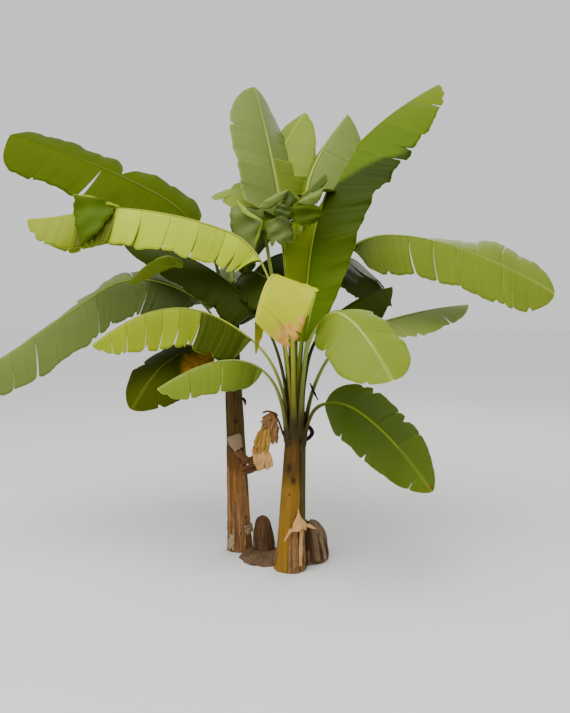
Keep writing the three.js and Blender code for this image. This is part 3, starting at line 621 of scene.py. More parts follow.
def rib_frames(leaf, s):
    """Point, direction, side and top of the rib at distances s.

    Slope and bearing change evenly between their knots; the point is the running sum of the
    direction; side is level, square to the rib, and turned about it by the blade's roll.
    """
    total = leaf["stalk"] + leaf["blade"]
    fine = np.linspace(0.0, total, RIB_STEPS + 1)

    def direction(x):
        slope = np.radians(np.interp(x, knots(leaf), leaf["climb"]))
        bearing = np.radians(even(leaf["heading"], x / total))
        d = np.stack([np.cos(slope) * np.cos(bearing), np.cos(slope) * np.sin(bearing), np.sin(slope)], -1)
        return d, np.stack([-np.sin(bearing), np.cos(bearing), 0 * bearing], -1)

    middle, _ = direction((fine[1:] + fine[:-1]) / 2)
    walk = np.vstack([np.zeros(3), np.cumsum(middle * (total / RIB_STEPS), axis=0)])
    bearing, away = leaf["seat"]
    start = stem_axis(leaf["stem"], leaf["z"]) + away * toward(bearing)
    point = np.stack([np.interp(s, fine, walk[:, k]) for k in range(3)], -1) + start
    d, level = direction(s)
    up = np.cross(d, level)
    roll = np.radians(even(leaf["roll"], (s - leaf["stalk"]) / leaf["blade"]))
    roll = (roll * unit(s / leaf["stalk"]))[:, None]
    side = level * np.cos(roll) + up * np.sin(roll)
    top = up * np.cos(roll) - level * np.sin(roll)
    return point, d, side, top


def half_width(leaf, t, index):
    """Half the blade's width at fraction t: a quarter ellipse at the base, then full, then a rounded tip.

    Through the tip it is full width times (1 less the 2.1th power of how far through it t is) to the
    power 0.75.
    """
    tip, foot = leaf["blunt"], leaf["slim"][index]
    base = np.sqrt(unit(1 - (1 - np.minimum(t, foot) / foot) ** 2))
    end = unit(1 - (np.maximum(t - tip, 0) / (1 - tip)) ** 2.1) ** 0.75
    return leaf["width"] / 2 * base * end


def margin_wear(leaf, t, nicks, rng):
    """What is left of the half's width at each t, from 0 to 1.

    Slow and quick waves take a little of it, and each nick takes a V: deepest at its middle and
    nothing past its own half-length.
    """
    down = t * leaf["blade"]
    phase = rng.uniform(0, 2 * math.pi, 4)
    waves = (np.sin(down / 0.050 + phase[0]) + 0.7 * np.sin(down / 0.021 + phase[1])
             + 0.5 * np.sin(down / 0.011 + phase[2]) + 0.4 * np.sin(down / 0.0062 + phase[3]))
    left = 1 - 0.006 * (1.6 + waves)
    for _ in range(nicks):
        middle, reach, depth = rng.uniform(0.08, 0.97), rng.uniform(0.008, 0.022), rng.uniform(0.05, 0.20)
        left = left - depth * unit(1 - np.abs(t - middle) * leaf["blade"] / reach)
    return np.clip(left, 0.3, 1)


def blade_half(leaf, sign, rng):
    """One half of a blade as strips, each a closed thin shell.

    At fraction t down the blade and u out from the rib, the half runs out at its lift angle plus
    the curl times u, sags toward the ground where it hangs, leans forward by the vein slant times
    the half's width times u squared, and ripples more toward its margin. A strip draws in from its
    tears, past where they start, and hangs and twists a little by itself.
    """
    index = 0 if sign > 0 else 1
    first = leaf["tones"][index] if isinstance(leaf["tones"][index], tuple) else (leaf["tones"][index],)
    tears = [(*tear, 0.0)[:4] for tear in [(0.0, 1.0, 0.0), *leaf["tears"][index], (1.0, 1.0, 0.0)]]
    u = np.linspace(0.0, 1.0, STRIP_COLUMNS) ** 0.9
    wave_phase = rng.uniform(0, 2 * math.pi, 3)
    wear_seed = int(rng.integers(1 << 30))
    strips = []
    for (start, depth_a, gap_a, tone), (end, depth_b, gap_b, _) in zip(tears[:-1], tears[1:]):
        length = (end - start) * leaf["blade"]
        rows = max(5, int(round(length / ROW_STEP)))
        v = np.linspace(0.0, 1.0, rows)[:, None]
        from_a, from_b = v * length, (1 - v) * length
        hang, twist = rng.normal(0, STRIP_TURN_DEG), rng.normal(0, STRIP_TURN_DEG)
        own = rng.normal(0, 0.06)
        pull_a = unit((u - depth_a) / (1.001 - depth_a)) * (start > 0)
        pull_b = unit((u - depth_b) / (1.001 - depth_b)) * (end < 1)
        shift = (gap_a / 2 * pull_a * (1 - v) - gap_b / 2 * pull_b * v) / leaf["blade"]
        t = unit(start + (end - start) * v + shift)
        loose = np.maximum(pull_a * unit(1 - from_a / LOOSE_REACH), pull_b * unit(1 - from_b / LOOSE_REACH))
        corner = 0.06 * np.maximum(np.exp(-from_a / CORNER_REACH) * (start > 0),
                                   np.exp(-from_b / CORNER_REACH) * (end < 1))
        wear = margin_wear(leaf, t, leaf["nicks"][index], np.random.default_rng(wear_seed))
        wide = half_width(leaf, t, index) * wear * (1 - corner)
        lift = even(leaf["left" if sign > 0 else "right"], t)
        extra = hang * np.maximum(pull_a, pull_b) + twist * (v - 0.5) * 2 * loose
        slope = np.clip(lift + CURL_DEG * u + extra, -STEEPEST_DEG, STEEPEST_DEG)
        slope = np.radians(slope * unit(t / 0.05))
        step = np.diff(u, prepend=0.0) * wide
        across = np.cumsum(np.cos(slope) * step, axis=1)
        down = t * leaf["blade"] * 2 * math.pi
        ripple = (np.sin(down / 0.31 + wave_phase[0]) + 0.5 * np.sin(down / 0.143 + wave_phase[1])
                  + 0.18 * np.sin(down / 0.067 + wave_phase[2]))
        ripple = ripple * leaf["width"] * RIPPLE * u ** 1.6 * unit(wide / (leaf["width"] / 2))
        rise = (np.cumsum(np.sin(slope) * step, axis=1) + ripple).reshape(-1, 1)
        point, d, side, top = rib_frames(leaf, leaf["stalk"] + t.ravel() * leaf["blade"])
        sag = top + np.array([0, 0, SAG_PULL]) * (1 - d[:, 2:3] ** 2)
        sag /= np.linalg.norm(sag, axis=1, keepdims=True)
        lean = d * (VEIN_SLANT * (wide * u ** 2).reshape(-1, 1))
        surface = point + side * (sign * across.reshape(-1, 1)) + np.where(rise < 0, sag, top) * rise + lean
        surface = surface.reshape(rows, STRIP_COLUMNS, 3)
        normal = np.cross(d.reshape(surface.shape), np.gradient(surface, axis=1)) * sign
        by_tear = np.maximum(unit(1 - from_a / TEAR_REACH) * (pull_a > 0),
                             unit(1 - from_b / TEAR_REACH) * (pull_b > 0))
        edge = np.maximum(by_tear, unit(1 - (1 - u) * wide / MARGIN_REACH))
        edge = np.maximum(edge, unit((t - 0.9) / 0.1))
        burn = 0 * t
        for half, t0, u0, reach in leaf["scorch"]:
            if half == sign:
                away = np.hypot((t - t0) * leaf["blade"], (u - u0) * wide)
                burn = np.maximum(burn, unit(1 - away / reach))
        # Painted shade and light for the strip: its tone, a small random part of its own, and the first
        # strip's run; past a fold's line the painted shade gives way to the painted light given beyond it.
        shade = tone + own + (even(first, v) if start == 0 else first[0])
        if leaf["fold"] and leaf["fold"][0] == sign:
            _, fold, slant, beyond = leaf["fold"]
            before = unit((fold + slant * u - t) / FOLD_BLUR)
            after = beyond if start == 0 else tone
            shade = own + after + (even(first, unit(t / fold)) - after) * before
        vertices, quads, marks = sheet(surface, normal, {
            "along": t * leaf["blade"], "across": u * wide, "margin": edge, "scorch": burn, "tone": shade})
        strips.append((vertices, quads if sign > 0 else quads[:, ::-1], marks))
    return strips


def rib_surface(leaf, thick=1.0, share=0.992):
    """A leaf's stalk and rib: a crescent profile carried along the rib, for the given share of the blade.

    The profile is rounded below and channelled above, and thick multiplies its width. At the foot it is
    as wide as a sheath, lies against the stem and sinks into it going down; it is slim at the tip.
    """
    stalk, blade = leaf["stalk"], leaf["blade"]
    bearing, away = leaf["seat"]
    short = stalk <= SHORT_STALK
    foot = 0.02 if short else 0.08
    s = np.concatenate([np.linspace(-foot, 0.0, 12)[:-1], np.linspace(0, stalk + blade * share, 120)])
    point, _, side, top = rib_frames(leaf, np.clip(s, 0, None))
    point = point + np.minimum(s, 0)[:, None] * np.array([0, 0, 1.0])
    crown = leaf["stem"]["radius"][1]
    outer = away > HUG_FROM and not short
    near = unit(1 - s / HUG_REACH) ** 2 * outer
    sink = -0.020 * unit(-s / foot) ** 1.5
    point = point + toward(bearing) * ((crown - away) * near + sink * outer)[:, None]
    places = [-foot, 0.0, 0.10, HUG_REACH, stalk, stalk + blade * 0.5, stalk + blade]
    half = np.interp(s, places, RIB_HALF) * thick
    if short:
        half = np.interp(s, [-foot, stalk, stalk + blade], [0.012, 0.006, 0.002]) * thick
    depth = (half * np.interp(s, [-foot, 0.05, 0.25, stalk + blade], [0.25, 0.70, 1.20, 1.1]))[:, None]
    ring = np.linspace(0, 2 * math.pi, 18, endpoint=False)
    channel = np.interp(s, [0.0, stalk, stalk + 0.15 * blade], [0.75, 0.55, 0.12])[:, None]
    x = half[:, None] * np.cos(ring)
    low = -depth * np.maximum(np.sin(ring), 0) ** 0.9
    high = np.where(np.sin(ring) < 0, -channel * depth * np.sin(-ring) ** 2 * 0.8, 0.0)
    wrap = (half / crown * near)[:, None] * 0.5
    z = low + high + wrap * x ** 2 / np.maximum(half[:, None], 1e-6) + depth * 0.25
    grid = point[:, None] + side[:, None] * x[..., None] + top[:, None] * z[..., None]
    return closed_tube(grid, [grid[0].mean(0), grid[-1].mean(0)], {
        "along": (s[:, None], [s[0], s[-1]]), "across": (np.abs(ring - math.pi) / math.pi, [0, 0]),
        "margin": (np.abs(np.cos(ring)) ** 6, [0, 0])})


def flare(t):
    """What the flare at the ground multiplies a stem's tapered radius by, at fraction t of its height.

    It is 1 plus 0.14 times the exponential of -t / 0.05.
    """
    return 1 + 0.14 * np.exp(-t / 0.05)


def stem_surface(stem, sheaths, spots, seed):
    """A stem: a leaning tapered round wrapped in sheaths, each a thin layer over the ones before it.

    Round the stem at bearing a and height z, a sheath covers what lies within its half-angle of its
    own bearing; the half-angle goes from its foot value to its top value with the height's power 1.5.
    Where it covers it adds its thickness and gives the surface its own gold and husk marks. Seam is 1
    along a sheath's edge where no later one covers it, and spot rises to 1 at the middle of a dark spot
    of the given bearing, height and reach. Fine ribs run up all of it, and the top closes over in a
    rounded shoulder.
    """
    rng = np.random.default_rng(seed)
    rows, columns = 190, 150
    z = np.linspace(0, 1, rows)[:, None] * stem["height"]
    a = np.linspace(0, 2 * math.pi, columns, endpoint=False)[None, :]
    t = z / stem["height"]
    radius = stem["radius"][0] + (stem["radius"][1] - stem["radius"][0]) * t
    radius = radius * (flare(t) + 0.03 * np.cos(2 * a + z / 0.4) + 0.015 * np.cos(5 * a)) - 0.006
    seam, gold, husk, spot = (np.zeros((rows, columns)) for _ in range(4))

    def apart(bearing):
        return np.abs((a - math.radians(bearing) + math.pi) % (2 * math.pi) - math.pi)

    for bearing, height, at_foot, at_top, thick, is_gold, is_husk in sheaths:
        reach = np.radians(at_foot + (at_top - at_foot) * unit(z / height) ** 1.5)
        reach = reach + 0.05 * np.sin(z / 0.09 + bearing) + 0.02 * np.sin(z / 0.021 + 2 * bearing)
        off = apart(bearing)
        ragged = height - 0.03 - 0.02 * np.sin(9 * a + bearing) - 0.012 * np.sin(31 * a)
        inside = unit((reach - off) * radius / 0.003) * unit((ragged - z) / 0.006)
        beside = np.exp(-(((off - reach) * radius - 0.0015) / 0.0035) ** 2) * (z < ragged)
        radius = radius + thick * inside
        seam = np.maximum(seam * (1 - inside), beside)
        gold = gold * (1 - inside) + is_gold * inside
        husk = husk * (1 - inside) + is_husk * inside
    for bearing, height, reach in spots:
        spot = np.maximum(spot, unit(1 - np.hypot(apart(bearing) * radius * 1.5, z - height) / reach))
    ribs = (np.sin(a * 23 + 3 * np.sin(z / 0.15))
            + 0.6 * np.sin(a * 41 + rng.uniform(0, 6) + 2 * np.sin(z / 0.21)))
    radius = radius + 0.0009 * ribs * (1 + 1.2 * husk)
    radius = radius * np.sqrt(unit(1 - (unit((t - 0.955) / 0.045) * 0.96) ** 2))
    axis = stem_axis(stem, z[:, 0])
    grid = axis[:, None] + np.stack([radius * np.cos(a), radius * np.sin(a), 0 * radius], -1)
    return closed_tube(grid, axis[[0, -1]], {
        "high": (z, [0, stem["height"]]), "seam": (seam, [0, 0]), "gold": (gold, [0, 0]),
        "husk": (husk, [0, 0]), "spot": (spot, [0, 0])})


def smooth_path(knot_rows, count):
    """Count rows through the given ones.

    Each piece is the cubic whose end slopes are half the step between the knots on either side.
    """
    knot_rows = np.array(knot_rows, float)
    padded = np.vstack([2 * knot_rows[0] - knot_rows[1], knot_rows, 2 * knot_rows[-1] - knot_rows[-2]])
    x = np.linspace(0, len(knot_rows) - 1, count)
    i = np.minimum(x.astype(int), len(knot_rows) - 2)
    f = (x - i)[:, None]
    a, b, c, d = (padded[i + k] for k in range(4))
    return 0.5 * (2 * b + (c - a) * f + (2 * a - 5 * b + 4 * c - d) * f ** 2
                  + (3 * b - a - 3 * c + d) * f ** 3)


def shred(stem, line, tone, rng, cup, rough, facing):
    """A torn strip or flap as a thin closed shell.

    Its middle passes smoothly through places given as bearing, distance from the stem's axis and
    height, with a half-width and, where it has one, a turn about its own length. It faces away from
    the stem, or toward the bearing given. Across, it is cupped as the square of the distance out; it
    crinkles along its length and its ends are ragged.
    """
    rows, columns = 26, 9
    track = smooth_path([(*point, 0.0)[:5] for point in line], rows)
    outward = toward(track[:, 0])
    middle = stem_axis(stem, track[:, 2]) + outward * track[:, 1:2]
    d = np.gradient(middle, axis=0)
    d /= np.linalg.norm(d, axis=1, keepdims=True)
    side = np.cross(outward if facing is None else toward(facing), d)
    side /= np.maximum(np.linalg.norm(side, axis=1, keepdims=True), 1e-6)
    face = np.cross(d, side)
    turn = np.radians(track[:, 4:5])
    side, face = side * np.cos(turn) + face * np.sin(turn), face * np.cos(turn) - side * np.sin(turn)
    u = np.linspace(-1, 1, columns)[None, :]
    half = np.maximum(track[:, 3:4], 0.0012)
    v = np.linspace(0, 1, rows)[:, None]
    phase = rng.uniform(0, 2 * math.pi, 5)
    edge = 1 + rough * (0.10 * np.sin(v * 17 + phase[0]) + 0.07 * np.sin(v * 41 + phase[1] + 2 * u))
    crinkle = rough * half * (0.16 * np.sin(v * 13 + 2 * u + phase[2])
                              + 0.12 * np.sin(5 * u + v * 6 + phase[3]))
    length = float(np.linalg.norm(np.diff(middle, axis=0), axis=1).sum())
    fray = rough * half[-1] * (0.5 * np.sin(7 * u + phase[4]) + 0.35 * np.sin(17 * u)) * v ** 8
    surface = (middle[:, None] + side[:, None] * (half * edge * u)[..., None]
               + face[:, None] * (crinkle - cup * half * u ** 2)[..., None] + d[:, None] * fray[..., None])
    normal = np.cross(np.gradient(surface, axis=0), np.gradient(surface, axis=1))
    rim = np.maximum(unit((np.abs(u) - 0.6) / 0.4), unit((v - 0.85) / 0.15))
    return sheet(surface, normal, {
        "along": v * length, "across": u * half + tone * 0.7 + phase[0], "margin": rim, "scorch": 0.0,
        "tone": tone})


def dome_surface(x, y, radius, height, lean, seed):
    """An old stump or mound: a rounded cone, ribbed by its fibres and lumpy.

    Its radius falls with height as a squashed circle; ribs run up it, and lumps are sums of waves.
    """
    phase = np.random.default_rng(seed).uniform(0, 6.28, 4)
    t = np.linspace(0, 1, 40)[:, None]
    a = np.linspace(0, 2 * math.pi, 72, endpoint=False)[None, :]
    r = radius * (1.08 - 0.10 * t) * np.clip(1 - t ** 3.2, 0.0005, 1) ** 0.62
    lumps = (np.sin(3 * a + phase[0] + 2 * t) + np.sin(7 * a + phase[1] - 3 * t)
             + 0.7 * np.sin(13 * a + phase[2]) + 0.5 * np.sin(29 * a + phase[3] + 5 * t))
    r = r * (1 + 0.06 * lumps / 2)
    grid = np.stack([x + lean[0] * t + r * np.cos(a), y + lean[1] * t + r * np.sin(a),
                     height * t + 0 * a], -1)
    return closed_tube(grid, [[x, y, 0.0], [x + lean[0], y + lean[1], height]], {})


# The leaves

for number, (name, leaf) in enumerate(LEAVES.items()):
    colour_and_light = LEAF_COLOURS_AND_PAINTED_LIGHT[leaf["colour_and_light"]]
    slot = SLOT_OF.get(leaf["colour_and_light"], "leaf_green")
    dry = slot == "dead"
    tube = rib_surface(leaf, thick=1.7, share=0.20) if dry else rib_surface(leaf)
    paint = rib_paint("rib_" + name, colour_and_light["rib"], colour_and_light["rib"] if dry else FOOT_OLIVE)
    rib = add_tube("rib_" + name, *tube, paint, slot)
    if dry:
        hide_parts(name)
        continue
    rng = np.random.default_rng(LEAF_SEED + number)
    strips = joined(blade_half(leaf, 1, rng) + blade_half(leaf, -1, rng))
    blade = add_mesh("blade_" + name, *strips, leaf_paint("blade_" + name, **colour_and_light), slot)
    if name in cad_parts:
        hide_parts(name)
    else:
        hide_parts(name + "_blade")
        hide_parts(name + "_stalk")


# Stems, stumps and root

# Sheaths: bearing, height, half-angle at the foot and at the top, thickness, gold mark, husk mark.
SHEATHS = {
    "main": [(90, 1.0, 170, 60, 0.002, 0, 0), (20, 1.1, 120, 50, 0.002, 0, 0),
             (350, 0.9, 62, 40, 0.002, 0, 0), (210, 1.3, 94, 80, 0.003, 1, 0),
             (60, 0.24, 60, 25, 0.003, 0, 1), (300, 0.25, 44, 20, 0.004, 0, 1)],
    "second": [(290, 1.6, 150, 90, 0.002, 0, 0), (110, 1.4, 150, 60, 0.002, 0, 0),
               (330, 1.2, 70, 40, 0.002, 0, 0), (60, 0.62, 100, 50, 0.002, 1, 0),
               (238, 0.7, 118, 76, 0.003, 1, 0), (140, 0.3, 70, 30, 0.003, 0, 1),
               (262, 0.36, 46, 20, 0.003, 0.6, 1)],
}
# Stem colours, and the heights above which a stem browns and is dark.
STEM_PAINTS = {
    "main": dict(olive=(0.070, 0.062, 0.010), gold=(0.235, 0.120, 0.008), brown=(0.085, 0.042, 0.008),
                 dark=(0.018, 0.010, 0.003), brown_from=0.55, dark_from=0.79),
    "second": dict(olive=(0.066, 0.054, 0.007), gold=(0.300, 0.130, 0.030), brown=(0.110, 0.046, 0.010),
                   dark=(0.018, 0.010, 0.004), brown_from=0.52, dark_from=1.25),
}
# Dark spots: bearing, height and reach.
SPOTS = {"main": [(239, 0.63, 0.045), (268, 0.555, 0.030), (250, 0.47, 0.014)],
         "second": [(280, 0.86, 0.030), (300, 0.42, 0.022)]}
for name, stem in STEMS.items():
    tube = stem_surface(stem, SHEATHS[name], SPOTS[name], STEM_SEEDS[name])
    piece = add_tube("sheaths_" + name, *tube, stem_paint("stem_" + name, **STEM_PAINTS[name]), "stem")
    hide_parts("stem_" + name)

# Stumps and root: foot, radius, height, how far the top leans over, and seed.
DOMES = {
    "stump_right": (0.132, 0.138, 0.104, 0.232, (-0.012, 0.012), 3),
    "stump_between": (-0.165, 0.215, 0.060, 0.236, (-0.012, 0.012), 4),
    "root_clump": (-0.165, 0.150, 0.140, 0.036, (0.0, 0.0), 5),
}
husk = husk_paint("husk", (0.20, 0.125, 0.065), (0.060, 0.030, 0.014))
for name, dome in DOMES.items():
    piece = add_tube("husk_" + name, *dome_surface(*dome), husk, "dead")
    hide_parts(name)


# Torn strips, flaps and lobes

rng = np.random.default_rng(SHRED_SEED)


def curtain(count, first, last, tones, rough):
    """Strips side by side, spread evenly from the first line to the last, a little off in place and turn.

    The lines' points are bearing, distance from the stem's axis, height and half-width.
    """
    first, last = np.array(first), np.array(last)
    strips = []
    for share in np.linspace(0.0, 1.0, count):
        line = first + (last - first) * share
        line[:, 1:3] += rng.normal(0, 0.006, (len(line), 2))
        line[:, 3] *= rng.uniform(0.7, 1.3, len(line))
        strips.append((rng.uniform(*tones), rough, TO_CAMERA,
                       [(*point, rng.normal(0, 22)) for point in line]))
    return strips


def ribbons(count, bearings, top, low, stem, spread):
    """Narrow strips hanging down a stem side by side, each a little off the last, its end standing out."""

    def radius(z):
        return even(stem["radius"], z / stem["height"]) * flare(z / stem["height"])

    strips = []
    for k in range(count):
        bearing = bearings[0] + (bearings[1] - bearings[0]) * (k + rng.uniform(0.1, 0.9)) / count
        high, end = rng.uniform(*top), rng.uniform(*low)
        middle = (high + end) / 2
        half, out = rng.uniform(0.003, 0.009), rng.uniform(0.2, 1.0) * spread
        drift = rng.normal(0, 3.0)
        strips.append((rng.uniform(-0.2, 1.0), 1.0, None, [
            (bearing, radius(high) + 0.002, high, half * 0.6),
            (bearing + drift * 0.4, radius(middle) + 0.004, middle, half, rng.normal(0, 12)),
            (bearing + drift, radius(end) + 0.004 + out, end, half * 0.8, rng.normal(0, 25))]))
    return strips


def drape(bearings, radius, height, half, tones):
    """Strips over an old stump: from its top, out over its shoulder and down its side to the ground."""
    return [(rng.uniform(*tones), 0.8, None, [
        (bearing, 0.14 * radius, height + 0.006, half * 0.5),
        (bearing + 4, 0.66 * radius, height * 0.92, half),
        (bearing + 6, radius, height * 0.6, half * 1.15),
        (bearing + 8, radius * rng.uniform(1.08, 1.2), 0.025, half * 0.8)]) for bearing in bearings]


MAIN, SECOND = STEMS["main"], STEMS["second"]
STUMP_AXIS = {"foot": (0.132, 0.138), "top": (0.120, 0.150), "height": 0.235}
BETWEEN_AXIS = {"foot": (-0.165, 0.215), "top": (-0.177, 0.227), "height": 0.240}
# Torn strips and flaps: the stem they go by, their paint, the solid they stand for, and each strip's tone,
# roughness, way it faces (None is away from the stem) and middle line as bearing, distance from the stem's
# axis, height, half-width and turn, 0 unless given.
SHREDS = {
    "dead_sheath": (MAIN, "straw", "dead_sheath", [
        (-0.3, 0.35, None, [(294, .087, .39, .002), (294, .094, .352, .01), (295, .106, .315, .036),
                           (298, .122, .272, .06)]),
        (0.0, 0.5, None, [(270, .104, .275, .012), (258, .108, .24, .007), (247, .113, .2, .003)]),
        (0.1, 0.5, None, [(322, .12, .29, .012), (330, .143, .274, .008, 10), (336, .162, .262, .002, 10)]),
        (0.0, 0.7, None, [(308, .1, .29, .013), (306, .104, .17, .013), (305, .112, .045, .011)])]),
    "dead_flap": (SECOND, "grey", "dead_flap", [
        (0.0, 0.3, None, [(262, .068, .772, .044), (272, .076, .735, .046), (290, .082, .684, .03)])]),
    "dead_stub": (MAIN, "black", "dead_stub", [
        (0.5, 0.3, 270, [(347, .05, .888, .008), (352, .08, .872, .011), (354, .102, .834, .013),
                         (351, .078, .798, .011), (349, .05, .786, .008)])]),
    "folds_top": (MAIN, "brown", None, curtain(
        7, [(174, .186, .932, .01), (181, .196, .86, .018), (178, .214, .775, .01)],
        [(170, .122, .938, .01), (182, .108, .862, .018), (176, .12, .765, .008)], (-0.5, 0.5), 1.5)
        + curtain(2, [(170, .11, .925, .008), (173, .15, .948, .016), (178, .205, .915, .008)],
                  [(172, .112, .915, .008), (178, .155, .935, .018), (184, .2, .89, .01)], (0.0, 0.4), 1.2)),
    "folds_yellow": (MAIN, "orange", None, curtain(
        5, [(186, .205, .868, .006), (188, .228, .788, .012), (184, .24, .706, .006)],
        [(188, .172, .862, .006), (192, .168, .782, .012), (186, .16, .7, .005)], (-0.1, 0.9), 1.4)),
    "folds_pale": (MAIN, "straw", None, curtain(
        4, [(183, .246, .738, .014), (186, .236, .668, .026), (184, .205, .602, .01)],
        [(184, .19, .74, .014), (188, .168, .682, .028), (185, .135, .628, .012)], (-0.4, 0.2), 0.9)),
    "folds_low": (MAIN, "brown", None, curtain(
        5, [(168, .198, .7, .016), (168, .262, .662, .022), (171, .325, .636, .008)],
        [(167, .192, .605, .014), (168, .264, .577, .016), (171, .335, .56, .004)], (0.8, 1.5), 1.3)
        + curtain(3, [(176, .215, .8, .01), (180, .235, .745, .016), (178, .245, .69, .008)],
                  [(178, .19, .79, .008), (184, .2, .735, .015), (182, .205, .68, .007)], (0.5, 1.1), 1.3)),
    "band_second": (SECOND, "brown", None, [
        (0.9, 0.9, None, [(268, .07, .672, .022), (290, .086, .655, .022, 10), (314, .14, .606, .018, 20)])]),
    "flaps_second": (SECOND, "grey", None, [
        (0.1, 0.3, None, [(326, .088, .18, .04), (328, .092, .15, .042), (330, .097, .122, .036)]),
        (0.0, 0.7, None, [(240, .088, .12, .018), (238, .096, .077, .024), (236, .105, .025, .026)])]),
    "threads": (SECOND, "black", None, [
        (0.5, 0.9, 270, [(350, .056, 1.01, .005), (353, .071, .992, .01), (345, .078, .962, .004)])]),
    "threads_main": (MAIN, "black", None, [
        (0.5, 0.9, 270, [(350, .076, 1.138, .004), (353, .102, 1.083, .007), (355, .128, 1.035, .003)])]),
    "ribbons_main": (MAIN, "brown", None,
                     ribbons(12, (262, 338), (0.18, 0.28), (0.015, 0.07), MAIN, 0.016)
                     + ribbons(7, (20, 200), (0.1, 0.22), (0.015, 0.05), MAIN, 0.016)),
    "ribbons_second": (SECOND, "brown", None,
                       ribbons(18, (215, 325), (0.3, 0.64), (0.02, 0.26), SECOND, 0.01)
                       + ribbons(10, (20, 200), (0.25, 0.6), (0.02, 0.2), SECOND, 0.01)),
    "drape_right": (STUMP_AXIS, "umber", None, drape(range(130, 400, 12), 0.104, 0.235, 0.013, (0.0, 1.0))),
    "drape_over": (STUMP_AXIS, "grey", None, drape(range(285, 400, 26), 0.109, 0.238, 0.017, (0.5, 1.3))),
    "drape_between": (BETWEEN_AXIS, "umber", None, drape(range(0, 360, 24), 0.062, 0.238, 0.01, (-0.2, 0.9))),
}
# Dry colours: light and dark fibres.
DRY_PAINTS = {
    "straw": ((0.54, 0.30, 0.105), (0.17, 0.075, 0.020)),
    "grey": ((0.30, 0.215, 0.125), (0.13, 0.080, 0.040)),
    "umber": ((0.115, 0.060, 0.024), (0.032, 0.014, 0.005)),
    "brown": ((0.33, 0.165, 0.062), (0.075, 0.030, 0.010)),
    "orange": ((0.43, 0.26, 0.045), (0.20, 0.080, 0.014)),
    "black": ((0.012, 0.008, 0.006), (0.006, 0.004, 0.003)),
}
dry_paints = {name: shred_paint("dry_" + name, *colors) for name, colors in DRY_PAINTS.items()}
for name, (stem, paint, node, strips) in SHREDS.items():
    parts = [shred(stem, line, tone, rng, cup=0.3, rough=rough, facing=facing)
             for tone, rough, facing, line in strips]
    piece = add_mesh("shreds_" + name, *joined(parts), dry_paints[paint], "dead")
    if node:
        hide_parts(node)

# Curled and hanging lobes torn from the leaves in the middle of the crown, a lit fold, and the left arch's
# hanging flap with its lit edge: their colour with its painted light, how strongly they are cupped, their
# tone of painted shade or light, and points as above.
LOBES = {
    "curl_left": ("sky", 0.5, -0.1, [(198, .29, 2.169, .003), (206, .242, 2.192, .028),
        (214, .188, 2.232, .024), (219, .136, 2.273, .003)]),
    "curl_inner": ("shade", 0.6, 0.55, [(214, .127, 2.277, .004), (220, .125, 2.225, .044),
        (222, .125, 2.16, .05), (213, .145, 2.09, .016)]),
    "lobe_low": ("shade", 0.1, 0.60, [(230, .18, 2.176, .036), (226, .19, 2.14, .052, 8),
        (222, .2, 2.104, .044, 12)]),
    "lobe_hanging": ("sky", 0.3, 0.35, [(209, .193, 2.11, .055), (216, .176, 2.034, .08),
        (218, .168, 1.965, .06)]),
    "lobe_right": ("fresh", 0.1, 0.62, [(280, .112, 2.194, .05), (276, .114, 2.158, .092, -5),
        (274, .116, 2.11, .086, -8), (276, .118, 2.068, .044, -8)]),
    "curl_right": ("sky", 0.5, -0.2, [(248, .119, 2.193, .003), (276, .121, 2.208, .03),
        (296, .134, 2.231, .03), (314, .141, 2.281, .004)]),
    "wedge": ("sky", 0.1, 0.25, [(181, .34, 2.192, .095), (182, .349, 2.107, .1), (182, .333, 2.019, .07),
        (184, .294, 1.935, .008)]),
    "pale_edge": ("clear", 0.5, -0.2, [(184, .406, 2.223, .005), (185, .375, 2.182, .016),
        (186, .344, 2.151, .015), (188, .254, 2.104, .004)]),
    "pale_rib": ("clear", 0.5, 0.0, [(183, .253, 2.107, .009), (183, .274, 2.019, .01),
        (182, .306, 1.936, .009)]),
    "lit_fold": ("clear", 0.3, -0.5, [(176, 1.058, 1.74, .012), (175, .938, 1.826, .04),
        (175, .829, 1.874, .04), (174, .736, 1.86, .02)]),
    "arch_flap": ("fresh", 0.1, 0.32, [(186, 1.221, 2.219, .125), (187, 1.234, 2.127, .105),
        (189, 1.249, 2.037, .065), (189, 1.276, 1.945, .008)]),
    "arch_edge": ("lit", 0.5, 0.0, [(185, 1.35, 2.238, .004), (186, 1.251, 2.222, .01),
        (186, 1.157, 2.192, .01), (187, 1.082, 2.17, .004)]),
}
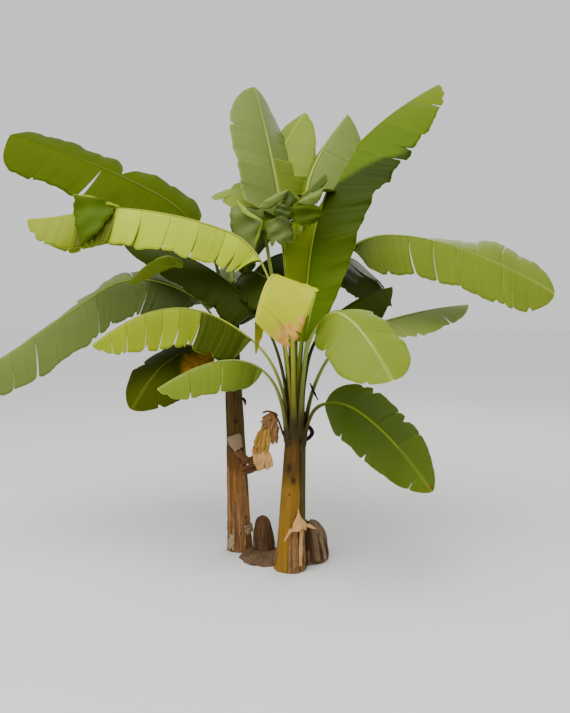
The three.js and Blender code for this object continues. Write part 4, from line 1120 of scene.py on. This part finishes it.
for name, (colour_and_light, cup, tone, line) in LOBES.items():
    flap = joined([shred(MAIN, line, tone, rng, cup=cup, rough=0.5, facing=TO_CAMERA)])
    add_mesh("lobe_" + name, *flap, leaf_paint("lobe_" + name, **LEAF_COLOURS_AND_PAINTED_LIGHT[colour_and_light]), "leaf_green")


# Floor, light and camera

bpy.ops.mesh.primitive_plane_add(size=240, location=(0, 0, 0))
floor = bpy.context.object
floor.name = "floor"
floor.data.materials.append(floor_paint("floor", (0.66, 0.665, 0.65)))


def soft_light(name, size, energy, place, aim, color):
    """A square soft box at place, pointed at aim."""
    data = bpy.data.lights.new(name, "AREA")
    data.size, data.energy, data.color = size, energy, color
    lamp = bpy.data.objects.new(name, data)
    bpy.context.collection.objects.link(lamp)
    lamp.location = place
    way = np.array(aim) - np.array(place)
    tilt = math.atan2(way[2], math.hypot(way[0], way[1]))
    lamp.rotation_euler = (math.pi / 2 + tilt, 0, math.atan2(way[1], way[0]) - math.pi / 2)


soft_light("sky_box", 5.0, 420, (-1.5, -2.5, 6.5), (0, 0, 1.6), (1.0, 1.0, 0.98))
soft_light("back_box", 4.0, 120, (3.0, 5.0, 5.5), (0, 0, 1.9), (1.0, 1.0, 0.97))

overcast = bpy.data.lights.new("overcast", "SUN")
overcast.energy, overcast.angle = 1.3, math.radians(80)
overcast_lamp = bpy.data.objects.new("overcast", overcast)
bpy.context.collection.objects.link(overcast_lamp)
overcast_lamp.rotation_euler = (math.radians(28), 0, math.radians(-30))

world = bpy.data.worlds.new("studio")
bpy.context.scene.world = world
world.use_nodes = True
world.node_tree.nodes["Background"].inputs["Color"].default_value = (0.93, 0.94, 0.95, 1.0)
world.node_tree.nodes["Background"].inputs["Strength"].default_value = 0.95

camera_data = bpy.data.cameras.new("camera")
camera_data.sensor_width = 36.0
camera_data.lens = 36.0 * FOCAL_PX / max(PHOTO)
camera = bpy.data.objects.new("camera", camera_data)
bpy.context.collection.objects.link(camera)
camera.location = EYE
camera.rotation_euler = (math.radians(90 - PITCH_DEG), 0, 0)
bpy.context.scene.camera = camera

bpy.context.view_layer.update()
